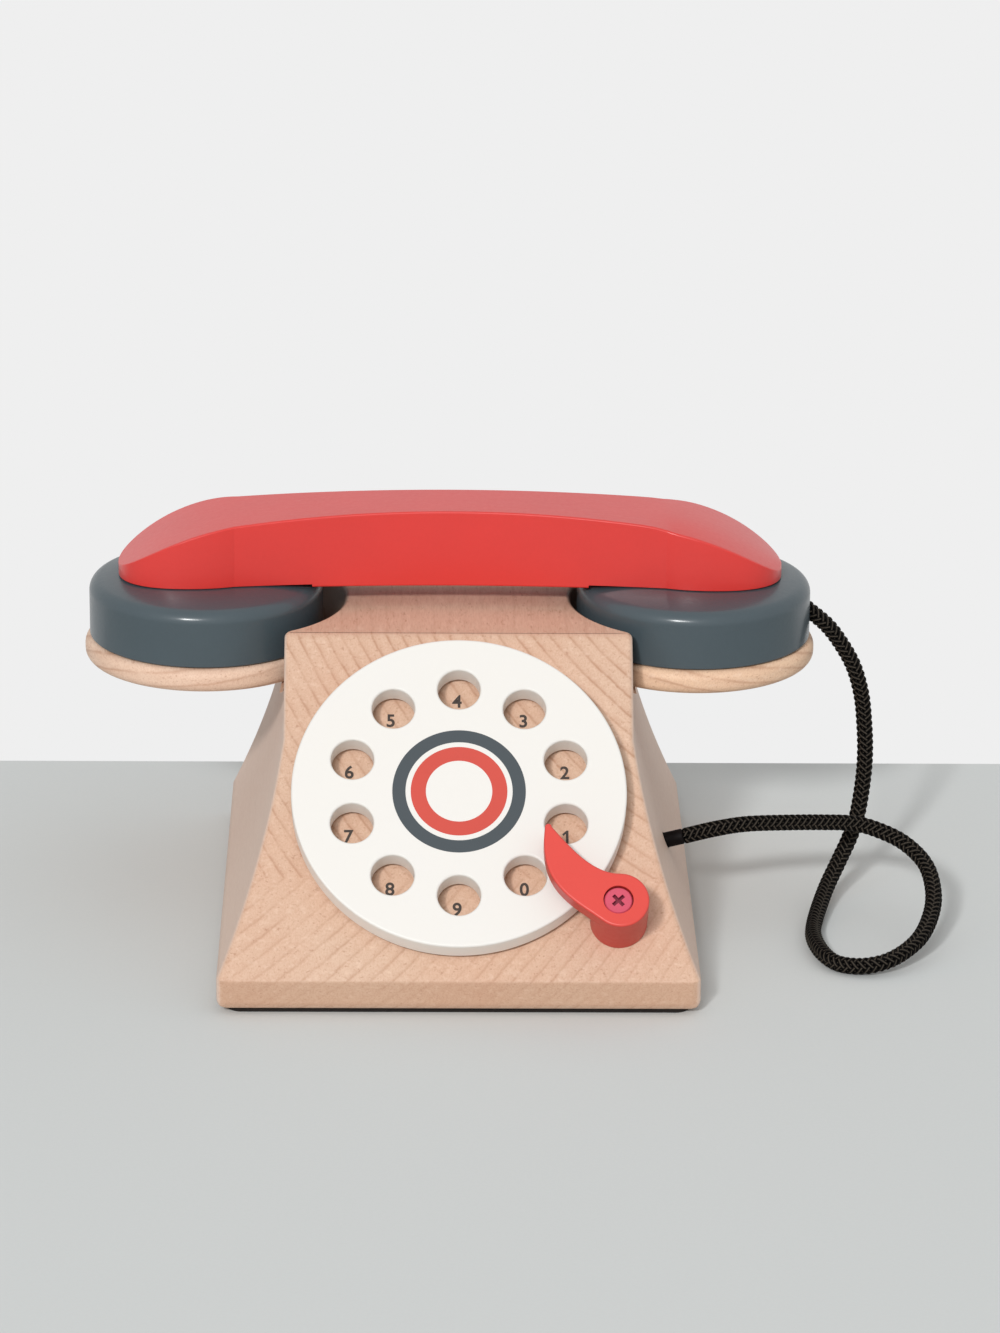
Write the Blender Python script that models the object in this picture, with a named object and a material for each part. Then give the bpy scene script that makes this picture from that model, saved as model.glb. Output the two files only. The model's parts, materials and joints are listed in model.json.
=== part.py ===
"""A wooden toy telephone: a sloped beech base with a turning dial, and a handset in its cradle."""

import math

import bmesh
import bpy
from mathutils import Matrix, Vector

# Fits, in metres
SEAT_GAP = 0.0003
RUNNING_GAP = 0.0005
CUT_MARGIN = 0.004
WELD_DISTANCE = 0.00005
SAME_POINT = 0.000001

# Base block
BASE_WIDTH = 0.1382
BASE_TOP_WIDTH = 0.102
BASE_HEIGHT = 0.087
LIP_HEIGHT = 0.009
SLOPE_ANGLE = math.radians(45.4)
SIDE_STRAIGHT = 0.0245
SIDE_HOLLOW = 0.0022
FRONT_LAND = 0.0019
BACK_LAND = 0.0166
BASE_EDGE_ROUND = 0.0012
NOTCH_CORNER_ROUND = 0.0025
NOTCH_DEPTH = 0.0189
NOTCH_PLAY = 0.0028
FRONT_WALL = 0.016
BACK_WALL = 0.018
POCKET_WIDTH = 0.080
POCKET_ROOF = 0.012

# Bottom plate, its screws and the feet
PLATE_MARGIN = 0.012
PLATE_THICKNESS = 0.004
PLATE_CORNER_ROUND = 0.006
PLATE_SCREW_INSET = 0.007
PLATE_SCREW_LENGTH = 0.014
FOOT_HEIGHT = 0.0012
FOOT_RADIUS = 0.005
FOOT_INSET = 0.0016

# Wood screws
SCREW_SHANK_RADIUS = 0.0016
SCREW_HEAD_RADIUS = 0.0034
SCREW_HEAD_HEIGHT = 0.0022
SCREW_POINT = 0.003
RECESS_WIDTH = 0.0009
RECESS_DEPTH = 0.0012
RECESS_SPAN = 0.62

# Dial and its axle
DIAL_UP_SLOPE = 0.0557
DIAL_RADIUS = 0.0483
DIAL_THICKNESS = 0.0073
DIAL_STANDOFF = 0.0012
DIAL_EDGE_ROUND = 0.0006
FINGER_HOLES = 10
FINGER_HOLE_RADIUS = 0.0062
FINGER_CIRCLE_RADIUS = 0.0323
FIRST_HOLE_ANGLE = math.radians(-18)
AXLE_RADIUS = 0.005
AXLE_SEAT = 0.0045
SPACER_RADIUS = 0.012
WASHER_RADIUS = 0.010
WASHER_THICKNESS = 0.0015
AXLE_SCREW_LENGTH = 0.013

# Finger stop
STOP_RADIUS = 0.0082
STOP_ANGLE = math.radians(-39)
STOP_RIM_GAP = 0.0023
HORN_THICKNESS = 0.0056
HORN_CLEARANCE = 0.0025
HORN_TIP = Vector((0.0254, -0.0134))
HORN_TIP_WIDTH = 0.002
HORN_OUTER_LEAN = Vector((-0.12, -0.99))
HORN_INNER_LEAN = Vector((0.64, -0.77))
HORN_BLEND_ANGLE = math.radians(-127)
HORN_OUTER_REACH = (0.018, 0.012)
HORN_INNER_REACH = (0.008, 0.008)
STOP_EDGE_ROUND = 0.0005
STOP_SCREW_HEAD_RADIUS = 0.004
STOP_SCREW_SINK = 0.0006
STOP_SCREW_GRIP = 0.013

# Handset
CUP_SPACING = 0.1456
CUP_RADIUS = 0.0349
CUP_HEIGHT = 0.0184
CUP_EDGE_ROUND = 0.0038
DISC_OVERHANG = 0.0014
DISC_THICKNESS = 0.0073
DISC_EDGE_ROUND = 0.003
HANDLE_OVERHANG = 0.0262
HANDLE_HEIGHT = 0.0228
HANDLE_GRIP_DEPTH = 0.020
HANDLE_PAD_DEPTH = 0.0354
HANDLE_PAD_INSET = 0.021
HANDLE_PAD_RUN = 0.028
HANDLE_ARCH_RADIUS = 0.455
HANDLE_SHOULDER_INSET = 0.027
HANDLE_SHOULDER_RADIUS = 0.045
HANDLE_EDGE_ROUND = 0.0016
HANDLE_ROUND_SHARE = 0.35
HANDLE_END_ANGLE = math.radians(84)
CUP_SEAT_DEPTH = 0.001
CUP_SCREW_LENGTH = 0.028

# Cord and its sleeve
CORD_RADIUS = 0.0024
CORD_EXIT_HEIGHT = 0.0068
CORD_SOCKET_DEPTH = 0.008
CORD_SOCKET_DROOP = math.radians(38)
SLEEVE_RADIUS = 0.0026
SLEEVE_OUTSIDE = 0.0055
SLEEVE_INSIDE = 0.007
SLEEVE_TILT = math.radians(14)
PORT_HEIGHT = 0.026
PORT_FROM_FRONT = 0.0684
CORD_STEP = 0.010
CORD_ROUTE = (
    (0.1134, 0.0333, 0.0793),
    (0.1183, 0.0330, 0.0726),
    (0.1217, 0.0324, 0.0661),
    (0.1240, 0.0313, 0.0580),
    (0.1250, 0.0296, 0.0491),
    (0.1253, 0.0275, 0.0405),
    (0.1246, 0.0248, 0.0320),
    (0.1229, 0.0210, 0.0231),
    (0.1206, 0.0177, 0.0174),
    (0.1171, 0.0127, 0.0117),
    (0.1125, 0.0034, 0.0058),
    (0.1082, -0.0145, 0.0027),
    (0.1073, -0.0273, 0.0028),
    (0.1095, -0.0399, 0.0029),
    (0.1138, -0.0462, 0.0026),
    (0.1214, -0.0487, 0.0032),
    (0.1293, -0.0463, 0.0047),
    (0.1370, -0.0380, 0.0072),
    (0.1414, -0.0272, 0.0105),
    (0.1428, -0.0178, 0.0144),
    (0.1410, -0.0091, 0.0194),
    (0.1349, -0.0031, 0.0239),
    (0.1267, -0.0007, 0.0272),
    (0.1195, -0.0009, 0.0291),
    (0.1105, -0.0030, 0.0302),
    (0.0991, -0.0067, 0.0315),
    (0.0878, -0.0097, 0.0322),
)

# Place of the base under the handset
BASE_SIDE_SHIFT = 0.0023

# Facets
ROUND_STEPS = 48
HOLE_STEPS = 24
SCREW_STEPS = 16
ARC_STEPS = 5
SIDE_STEPS = 10

# Sizes that follow from the ones above
SLOPE_RUN = (BASE_HEIGHT - LIP_HEIGHT) / math.tan(SLOPE_ANGLE)
DISC_RADIUS = CUP_RADIUS + DISC_OVERHANG
NOTCH_RADIUS = DISC_RADIUS + NOTCH_PLAY
NOTCH_OUTSIDE = CUP_SPACING / 2 - BASE_TOP_WIDTH / 2
NOTCH_HALF = math.sqrt((NOTCH_RADIUS + NOTCH_CORNER_ROUND) ** 2 - (NOTCH_OUTSIDE + NOTCH_CORNER_ROUND) ** 2)
CRADLE_FROM_FRONT = SLOPE_RUN + FRONT_LAND + NOTCH_HALF
BASE_DEPTH = CRADLE_FROM_FRONT + NOTCH_HALF + BACK_LAND
BASE_LIFT = FOOT_HEIGHT + SEAT_GAP
NOTCH_FLOOR = BASE_HEIGHT - NOTCH_DEPTH
REBATE_DEPTH = PLATE_THICKNESS + SEAT_GAP
DIAL_FRONT = DIAL_STANDOFF + DIAL_THICKNESS
STOP_DISTANCE = DIAL_RADIUS + STOP_RIM_GAP + STOP_RADIUS
STOP_CENTRE = STOP_DISTANCE * Vector((math.cos(STOP_ANGLE), math.sin(STOP_ANGLE)))
HORN_BOTTOM = DIAL_FRONT + HORN_CLEARANCE
STOP_TOP = HORN_BOTTOM + HORN_THICKNESS
CUP_BOTTOM = SEAT_GAP + DISC_THICKNESS + SEAT_GAP
CUP_TOP = CUP_BOTTOM + CUP_HEIGHT
HANDLE_BOTTOM = CUP_TOP + SEAT_GAP - CUP_SEAT_DEPTH
HANDLE_HALF = CUP_SPACING / 2 + HANDLE_OVERHANG
HANDLE_GRIP_HALF = HANDLE_HALF - HANDLE_PAD_INSET - HANDLE_PAD_RUN / 2
STOP_LOW = DIAL_UP_SLOPE + STOP_CENTRE.y - STOP_RADIUS
STOP_SHARP_FRONT = STOP_LOW * math.cos(SLOPE_ANGLE) - STOP_TOP * math.sin(SLOPE_ANGLE)
STOP_FRONT = STOP_SHARP_FRONT + STOP_EDGE_ROUND * (math.cos(SLOPE_ANGLE) + math.sin(SLOPE_ANGLE) - 1)
ORIGIN_FROM_FRONT = (BASE_DEPTH + STOP_FRONT) / 2
CUP_SEAT_DROP = math.sqrt(CUP_EDGE_ROUND ** 2 - (CUP_EDGE_ROUND - CUP_SEAT_DEPTH) ** 2)
CUP_SEAT_RADIUS = CUP_RADIUS - CUP_EDGE_ROUND + CUP_SEAT_DROP + SEAT_GAP


def clear_scene():
    """Remove every object, so that the model starts from nothing."""
    for thing in list(bpy.data.objects):
        bpy.data.objects.remove(thing, do_unlink=True)


def material(name, colour, roughness, metallic=0.0):
    """A plain principled finish."""
    finish = bpy.data.materials.new(name)
    finish.use_nodes = True
    shader = finish.node_tree.nodes["Principled BSDF"]
    shader.inputs["Base Color"].default_value = (*colour, 1.0)
    shader.inputs["Roughness"].default_value = roughness
    shader.inputs["Metallic"].default_value = metallic
    return finish


def frame_empty(name, matrix, parent=None):
    """An empty that carries a group of pieces."""
    empty = bpy.data.objects.new(name, None)
    bpy.context.scene.collection.objects.link(empty)
    empty.parent = parent
    empty.matrix_local = matrix
    return empty


def piece(name, mesh, finish, parent, matrix=Matrix()):
    """Turn a bmesh into a named object with its own finish."""
    bmesh.ops.recalc_face_normals(mesh, faces=mesh.faces)
    data = bpy.data.meshes.new(name)
    mesh.to_mesh(data)
    mesh.free()
    data.shade_smooth()
    data.set_sharp_from_angle(angle=math.radians(35))
    if finish is not None:
        data.materials.append(finish)
    thing = bpy.data.objects.new(name, data)
    bpy.context.scene.collection.objects.link(thing)
    thing.parent = parent
    thing.matrix_local = matrix
    return thing


def tool(name, mesh, parent, matrix=Matrix()):
    """A shape that only cuts or adds to other pieces."""
    thing = piece("tool_" + name, mesh, None, parent, matrix)
    thing.hide_render = True
    thing.display_type = "WIRE"
    return thing


def cut(target, shape):
    """Take a tool's shape out of the target."""
    change = target.modifiers.new("cut " + shape.name, "BOOLEAN")
    change.operation = "DIFFERENCE"
    change.solver = "EXACT"
    change.object = shape


def round_edges(target, width, segments=2):
    """Soften every edge sharper than a third of a right angle."""
    weld = target.modifiers.new("joined points", "WELD")
    weld.merge_threshold = WELD_DISTANCE
    change = target.modifiers.new("rounded edges", "BEVEL")
    change.limit_method = "ANGLE"
    change.angle_limit = math.radians(30)
    change.width = width
    change.segments = segments


def prism(outline, low, high, place):
    """Extrude a flat outline from low to high; place turns (u, v, height) into a point."""
    mesh = bmesh.new()
    ring = [mesh.verts.new(place(u, v, low)) for u, v in outline]
    face = mesh.faces.new(ring)
    grown = bmesh.ops.extrude_face_region(mesh, geom=[face])
    step = Vector(place(0, 0, high)) - Vector(place(0, 0, low))
    moved = [part for part in grown["geom"] if isinstance(part, bmesh.types.BMVert)]
    bmesh.ops.translate(mesh, verts=moved, vec=step)
    return mesh


def upright(u, v, height):
    """An outline drawn in plan and extruded upwards."""
    return (u, v, height)


def lengthwise(u, v, height):
    """An outline drawn from the front and extruded backwards."""
    return (u, height, v)


def crosswise(u, v, height):
    """An outline drawn from the side and extruded to the right."""
    return (height, u, v)


def turned(profile, steps):
    """Turn a profile of (radius, height) points around the Z axis into a solid."""
    mesh = bmesh.new()
    points = [mesh.verts.new((radius, 0, height)) for radius, height in profile]
    edges = [mesh.edges.new(pair) for pair in zip(points, points[1:])]
    if profile[0][0] > 0:
        edges.append(mesh.edges.new((points[-1], points[0])))
    up = (0, 0, 1)
    bmesh.ops.spin(
        mesh, geom=points + edges, cent=(0, 0, 0), axis=up, angle=math.tau, steps=steps, use_merge=True
    )
    bmesh.ops.remove_doubles(mesh, verts=mesh.verts, dist=SAME_POINT)
    bmesh.ops.dissolve_degenerate(mesh, edges=mesh.edges, dist=SAME_POINT)
    return mesh


def arc(centre, radius, start, end, steps):
    """Points along a circular arc, both ends included."""
    points = []
    for step in range(steps + 1):
        angle = start + (end - start) * step / steps
        points.append((centre[0] + radius * math.cos(angle), centre[1] + radius * math.sin(angle)))
    return points


def rounded_rectangle(left, right, front, back, radius):
    """A rectangle's outline with round corners, anticlockwise."""
    outline = []
    corners = ((right, back), (left, back), (left, front), (right, front))
    for quarter, (x, y) in enumerate(corners):
        inward_x = math.copysign(radius, (left + right) / 2 - x)
        inward_y = math.copysign(radius, (front + back) / 2 - y)
        centre = (x + inward_x, y + inward_y)
        start = quarter * math.pi / 2
        outline += arc(centre, radius, start, start + math.pi / 2, ARC_STEPS)
    return outline


def bezier(start, first, second, end, steps):
    """Points along a cubic curve, both ends included."""
    points = []
    for step in range(steps + 1):
        t = step / steps
        s = 1 - t
        point = s ** 3 * start + 3 * s * s * t * first + 3 * s * t * t * second + t ** 3 * end
        points.append(point)
    return points


def ring_profile(inner, outer, low, high):
    """The cut through a flat ring, down its outer side."""
    return [(outer, high), (outer, low), (inner, low), (inner, high)]


def screw_profile(length, head_radius, grow=0.0):
    """A countersunk wood screw, head at zero and point downwards; grow widens it into its hole."""
    shank = SCREW_SHANK_RADIUS + grow
    head = head_radius + grow
    head_end = -SCREW_HEAD_HEIGHT - grow
    return [
        (0, 0),
        (head, 0),
        (head, -SCREW_HEAD_HEIGHT / 3 - grow),
        (shank, head_end),
        (shank, -length + SCREW_POINT),
        (shank / 3, -length - grow),
        (0, -length - grow),
    ]


def screw(name, length, head_radius, finish, parent, matrix):
    """A wood screw with a crosshead recess."""
    body = piece(name, turned(screw_profile(length, head_radius), SCREW_STEPS), finish, parent, matrix)
    reach = head_radius * RECESS_SPAN
    half = RECESS_WIDTH / 2
    plus = []
    for quarter in range(4):
        turn = Matrix.Rotation(quarter * math.pi / 2, 2)
        plus += [turn @ Vector((reach, -half)), turn @ Vector((reach, half)), turn @ Vector((half, half))]
    cut(body, tool(name + "_recess", prism(plus, -RECESS_DEPTH, CUT_MARGIN, upright), parent, matrix))
    return body


def screw_hole(name, length, head_radius, parent, matrix):
    """The hole that a screw leaves, with its mouth open above the head."""
    profile = screw_profile(length, head_radius, SEAT_GAP)
    mouth = [(0, CUT_MARGIN), (head_radius + SEAT_GAP, CUT_MARGIN)]
    return tool(name + "_hole", turned(mouth + profile[2:], SCREW_STEPS), parent, matrix)


def side_half_width(height):
    """Half the base's width at a height: upright lip, hollow flare, upright top."""
    flare_top = BASE_HEIGHT - SIDE_STRAIGHT
    share = min(max((height - LIP_HEIGHT) / (flare_top - LIP_HEIGHT), 0), 1)
    straight = BASE_WIDTH / 2 + (BASE_TOP_WIDTH - BASE_WIDTH) / 2 * share
    return straight - 4 * SIDE_HOLLOW * share * (1 - share)


def base_outline():
    """The base seen from the front."""
    flare_top = BASE_HEIGHT - SIDE_STRAIGHT
    heights = [0]
    for step in range(SIDE_STEPS + 1):
        heights.append(LIP_HEIGHT + (flare_top - LIP_HEIGHT) * step / SIDE_STEPS)
    heights.append(BASE_HEIGHT)
    right = [(side_half_width(height), height) for height in heights]
    left = [(-x, height) for x, height in reversed(right)]
    return right + left


def notch_outline(side):
    """The plan of one cradle notch: a cup's circle with rounded corners where it leaves the side."""
    wall = BASE_TOP_WIDTH / 2
    corner_x = wall - NOTCH_CORNER_ROUND
    lean = math.atan2(NOTCH_HALF, CUP_SPACING / 2 - corner_x)
    front = arc((corner_x, -NOTCH_HALF), NOTCH_CORNER_ROUND, 0, lean, ARC_STEPS)
    bowl = arc((CUP_SPACING / 2, 0), NOTCH_RADIUS, -math.pi + lean, -math.pi - lean, ROUND_STEPS // 2)
    back = arc((corner_x, NOTCH_HALF), NOTCH_CORNER_ROUND, -lean, 0, ARC_STEPS)
    outside = [(wall + CUT_MARGIN, NOTCH_HALF), (wall + CUT_MARGIN, -NOTCH_HALF)]
    return [(side * x, y + CRADLE_FROM_FRONT) for x, y in front + bowl[1:-1] + back + outside]


def slope_wedge():
    """The corner in front of the slope, seen from the side."""
    over = CUT_MARGIN * math.tan(SLOPE_ANGLE)
    top = BASE_HEIGHT + over
    return [(-CUT_MARGIN, LIP_HEIGHT - over), (SLOPE_RUN + CUT_MARGIN, top), (-CUT_MARGIN, top)]


def pocket_outline():
    """The pocket under the slope, seen from the side: its front follows the slope."""
    roof = NOTCH_FLOOR - POCKET_ROOF
    setback = FRONT_WALL / math.sin(SLOPE_ANGLE)
    low = -CUT_MARGIN
    front_low = setback + (low - LIP_HEIGHT) / math.tan(SLOPE_ANGLE)
    front_high = setback + (roof - LIP_HEIGHT) / math.tan(SLOPE_ANGLE)
    back = BASE_DEPTH - BACK_WALL
    return [(front_low, low), (back, low), (back, roof), (front_high, roof)]


def plate_outline(grow):
    """The bottom plate in plan; grow widens it into its rebate."""
    side = BASE_WIDTH / 2 - PLATE_MARGIN + grow
    front = PLATE_MARGIN - grow
    back = BASE_DEPTH - PLATE_MARGIN + grow
    return rounded_rectangle(-side, side, front, back, PLATE_CORNER_ROUND + grow)


def plate_screw_places():
    """Where the four plate screws go, heads down at the plate's underside."""
    side = BASE_WIDTH / 2 - PLATE_MARGIN - PLATE_SCREW_INSET
    front = PLATE_MARGIN + PLATE_SCREW_INSET
    back = BASE_DEPTH - PLATE_MARGIN - PLATE_SCREW_INSET
    flip = Matrix.Rotation(math.pi, 4, "X")
    corners = ((-side, front), (side, front), (-side, back), (side, back))
    return [Matrix.Translation((x, y, 0)) @ flip for x, y in corners]


def port_matrix():
    """Where the cord's sleeve leaves the base's right side, its Z axis pointing out."""
    place = Vector((side_half_width(PORT_HEIGHT), PORT_FROM_FRONT, PORT_HEIGHT))
    return Matrix.Translation(place) @ Matrix.Rotation(math.pi / 2 - SLEEVE_TILT, 4, "Y")


def make_base(frame, dial_frame, finish):
    """The beech block with its slope, cradle notches, pocket and bores."""
    base = piece("base_block", prism(base_outline(), 0, BASE_DEPTH, lengthwise), finish, frame)
    width = BASE_WIDTH / 2 + CUT_MARGIN
    cut(base, tool("slope", prism(slope_wedge(), -width, width, crosswise), frame))
    for side, name in ((-1, "left_notch"), (1, "right_notch")):
        shape = prism(notch_outline(side), NOTCH_FLOOR, BASE_HEIGHT + CUT_MARGIN, upright)
        cut(base, tool(name, shape, frame))
    round_edges(base, BASE_EDGE_ROUND)
    half = POCKET_WIDTH / 2
    cut(base, tool("pocket", prism(pocket_outline(), -half, half, crosswise), frame))
    cut(base, tool("rebate", prism(plate_outline(SEAT_GAP), -CUT_MARGIN, REBATE_DEPTH, upright), frame))
    bore = [(AXLE_RADIUS + RUNNING_GAP, CUT_MARGIN), (AXLE_RADIUS + RUNNING_GAP, -FRONT_WALL - CUT_MARGIN)]
    bore = [(0, CUT_MARGIN)] + bore + [(0, -FRONT_WALL - CUT_MARGIN)]
    cut(base, tool("axle_bore", turned(bore, HOLE_STEPS), dial_frame))
    socket = SLEEVE_RADIUS + SEAT_GAP
    depth = -SLEEVE_INSIDE - SEAT_GAP
    port = [(0, CUT_MARGIN), (socket, CUT_MARGIN), (socket, depth), (0, depth)]
    cut(base, tool("cord_port", turned(port, SCREW_STEPS), frame, port_matrix()))
    return base


def make_bottom(base, frame, plate_finish, screw_finish, foot_finish):
    """The bottom plate in its rebate, its four screws, and the four pads under the base."""
    plate = piece("bottom_plate", prism(plate_outline(0), 0, PLATE_THICKNESS, upright), plate_finish, frame)
    for number, place in enumerate(plate_screw_places(), 1):
        name = "plate_screw_%d" % number
        hole = screw_hole(name, PLATE_SCREW_LENGTH, SCREW_HEAD_RADIUS, frame, place)
        cut(plate, hole)
        cut(base, hole)
        screw(name, PLATE_SCREW_LENGTH, SCREW_HEAD_RADIUS, screw_finish, frame, place)
    side = BASE_WIDTH / 2 - FOOT_INSET - FOOT_RADIUS
    front = FOOT_INSET + FOOT_RADIUS
    back = BASE_DEPTH - FOOT_INSET - FOOT_RADIUS
    pad = [(0, 0), (FOOT_RADIUS, 0), (FOOT_RADIUS, -FOOT_HEIGHT), (0, -FOOT_HEIGHT)]
    for number, (x, y) in enumerate(((-side, front), (side, front), (-side, back), (side, back)), 1):
        place = Matrix.Translation((x, y, -SEAT_GAP))
        piece("foot_%d" % number, turned(pad, HOLE_STEPS), foot_finish, frame, place)


def make_sleeve(frame, finish):
    """The plain end of the cord, set in the base's side."""
    profile = [
        (0, SLEEVE_OUTSIDE),
        (SLEEVE_RADIUS, SLEEVE_OUTSIDE),
        (SLEEVE_RADIUS, -SLEEVE_INSIDE),
        (0, -SLEEVE_INSIDE),
    ]
    piece("cord_sleeve", turned(profile, SCREW_STEPS), finish, frame, port_matrix())


def make_dial(frame, finish):
    """The dial with its ring of finger holes and the blind seat for the axle."""
    soft = DIAL_EDGE_ROUND
    rim = arc((DIAL_RADIUS - soft, DIAL_FRONT - soft), soft, math.pi / 2, 0, 2)
    rim += arc((DIAL_RADIUS - soft, DIAL_STANDOFF + soft), soft, 0, -math.pi / 2, 2)
    profile = [(0, DIAL_FRONT)] + rim + [(0, DIAL_STANDOFF)]
    dial = piece("dial_plate", turned(profile, ROUND_STEPS + HOLE_STEPS), finish, frame)
    top = DIAL_FRONT + CUT_MARGIN
    low = DIAL_STANDOFF - CUT_MARGIN
    hole = [(0, top), (FINGER_HOLE_RADIUS, top), (FINGER_HOLE_RADIUS, low), (0, low)]
    for number in range(FINGER_HOLES):
        angle = FIRST_HOLE_ANGLE + number * math.tau / FINGER_HOLES
        centre = FINGER_CIRCLE_RADIUS * Vector((math.cos(angle), math.sin(angle), 0))
        place = Matrix.Translation(centre)
        cut(dial, tool("finger_hole_%d" % number, turned(hole, HOLE_STEPS), frame, place))
    seat_top = DIAL_STANDOFF + AXLE_SEAT
    seat_radius = AXLE_RADIUS + SEAT_GAP
    seat = [(0, seat_top), (seat_radius, seat_top), (seat_radius, low), (0, low)]
    cut(dial, tool("axle_seat", turned(seat, HOLE_STEPS), frame))
    return dial


def make_axle(frame, axle_finish, spacer_finish, metal_finish):
    """The axle in the dial's back, the spacer under the dial, and the washer and screw inside the base."""
    top = DIAL_STANDOFF + AXLE_SEAT - SEAT_GAP
    bottom = -FRONT_WALL - RUNNING_GAP
    profile = [(0, top), (AXLE_RADIUS, top), (AXLE_RADIUS, bottom), (0, bottom)]
    axle = piece("dial_axle", turned(profile, HOLE_STEPS), axle_finish, frame)
    spacer = ring_profile(AXLE_RADIUS + RUNNING_GAP, SPACER_RADIUS, SEAT_GAP, DIAL_STANDOFF - SEAT_GAP)
    piece("dial_spacer", turned(spacer, ROUND_STEPS), spacer_finish, frame)
    washer_top = bottom - SEAT_GAP
    washer_bottom = washer_top - WASHER_THICKNESS
    ring = ring_profile(SCREW_SHANK_RADIUS + SEAT_GAP, WASHER_RADIUS, washer_bottom, washer_top)
    washer = piece("axle_washer", turned(ring, ROUND_STEPS), metal_finish, frame)
    place = Matrix.Translation((0, 0, washer_bottom)) @ Matrix.Rotation(math.pi, 4, "X")
    hole = screw_hole("axle_screw", AXLE_SCREW_LENGTH, SCREW_HEAD_RADIUS, frame, place)
    cut(axle, hole)
    cut(washer, hole)
    screw("axle_screw", AXLE_SCREW_LENGTH, SCREW_HEAD_RADIUS, metal_finish, frame, place)


def stop_mesh():
    """The finger stop: a round boss whose top is drawn out into a curved horn that reaches over the dial."""
    width = Vector((HORN_TIP_WIDTH / 2, 0))
    drop = Vector((0, -HORN_TIP_WIDTH / 2))
    outer_tip = HORN_TIP - width + drop
    inner_tip = HORN_TIP + width + drop
    blend = STOP_CENTRE + STOP_RADIUS * Vector((math.cos(HORN_BLEND_ANGLE), math.sin(HORN_BLEND_ANGLE)))
    along = Vector((-math.sin(HORN_BLEND_ANGLE), math.cos(HORN_BLEND_ANGLE)))
    crown = STOP_CENTRE + Vector((0, STOP_RADIUS))
    first_reach, last_reach = HORN_OUTER_REACH
    outer_handles = (outer_tip + first_reach * HORN_OUTER_LEAN, blend - last_reach * along)
    outer = bezier(outer_tip, *outer_handles, blend, 2 * ARC_STEPS)
    first_reach, last_reach = HORN_INNER_REACH
    inner_handles = (crown + Vector((-last_reach, 0)), inner_tip + first_reach * HORN_INNER_LEAN)
    inner = bezier(crown, *inner_handles, inner_tip, 2 * ARC_STEPS)
    end = arc(STOP_CENTRE, STOP_RADIUS, HORN_BLEND_ANGLE, math.pi / 2, 4 * ARC_STEPS)
    hidden = arc(STOP_CENTRE, STOP_RADIUS, math.pi / 2, HORN_BLEND_ANGLE + math.tau, 3 * ARC_STEPS)
    horn = inner[1:] + [HORN_TIP] + outer[:-1]

    mesh = bmesh.new()

    def ring(points, height):
        return [mesh.verts.new((x, y, height)) for x, y in points]

    def wall(low, high):
        for index in range(len(low) - 1):
            mesh.faces.new((low[index], low[index + 1], high[index + 1], high[index]))

    top_end = ring(end, STOP_TOP)
    top_horn = ring(horn, STOP_TOP)
    low_end = ring(end, SEAT_GAP)
    low_hidden = ring(hidden[1:-1], SEAT_GAP)
    mid_hidden = ring(hidden[1:-1], HORN_BOTTOM)
    mid_horn = ring(horn, HORN_BOTTOM)
    mid_ends = ring((end[0], end[-1]), HORN_BOTTOM)
    top = mesh.faces.new(top_end + top_horn)
    mesh.faces.new([mid_ends[1]] + mid_horn + [mid_ends[0]] + mid_hidden[::-1])
    mesh.faces.new(low_end + low_hidden)
    wall(low_end[1:-1], top_end[1:-1])
    mesh.faces.new((mid_ends[0], low_end[0], low_end[1], top_end[1], top_end[0]))
    mesh.faces.new((low_end[-2], low_end[-1], mid_ends[1], top_end[-1], top_end[-2]))
    wall([mid_ends[1]] + mid_horn + [mid_ends[0]], [top_end[-1]] + top_horn + [top_end[0]])
    wall([low_end[-1]] + low_hidden + [low_end[0]], [mid_ends[1]] + mid_hidden + [mid_ends[0]])
    return mesh, top


def make_stop(base, frame, stop_finish, screw_finish):
    """The finger stop, screwed to the sloped face beside the dial."""
    mesh, top = stop_mesh()
    bmesh.ops.bevel(
        mesh, geom=list(top.edges), offset=STOP_EDGE_ROUND, segments=2, profile=0.5, affect="EDGES"
    )
    stop = piece("finger_stop", mesh, stop_finish, frame)
    length = STOP_TOP - STOP_SCREW_SINK + STOP_SCREW_GRIP
    place = Matrix.Translation((*STOP_CENTRE, STOP_TOP - STOP_SCREW_SINK))
    hole = screw_hole("stop_screw", length, STOP_SCREW_HEAD_RADIUS, frame, place)
    cut(stop, hole)
    cut(base, hole)
    screw("stop_screw", length, STOP_SCREW_HEAD_RADIUS, screw_finish, frame, place)


def handle_half_depth(reach):
    """Half the handle's depth at a distance from its middle: a waisted grip and two round pads."""
    pad = HANDLE_PAD_DEPTH / 2
    pad_centre = HANDLE_HALF - HANDLE_PAD_INSET
    run = HANDLE_PAD_RUN if reach < pad_centre else HANDLE_PAD_INSET
    on_pad = pad * math.sqrt(max(1 - ((reach - pad_centre) / run) ** 2, 0))
    if reach >= HANDLE_GRIP_HALF:
        return on_pad
    at_grip_end = pad * math.sqrt(1 - ((HANDLE_GRIP_HALF - pad_centre) / HANDLE_PAD_RUN) ** 2)
    waist = HANDLE_GRIP_DEPTH / 2
    return waist + (at_grip_end - waist) * (reach / HANDLE_GRIP_HALF) ** 2


def handle_top(reach):
    """The handle's height at a distance from its middle: a long arch with drooping shoulders."""
    shoulder = max(reach - (HANDLE_HALF - HANDLE_SHOULDER_INSET), 0)
    droop = shoulder ** 2 / (2 * HANDLE_SHOULDER_RADIUS)
    return HANDLE_HEIGHT - reach ** 2 / (2 * HANDLE_ARCH_RADIUS) - droop


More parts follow.
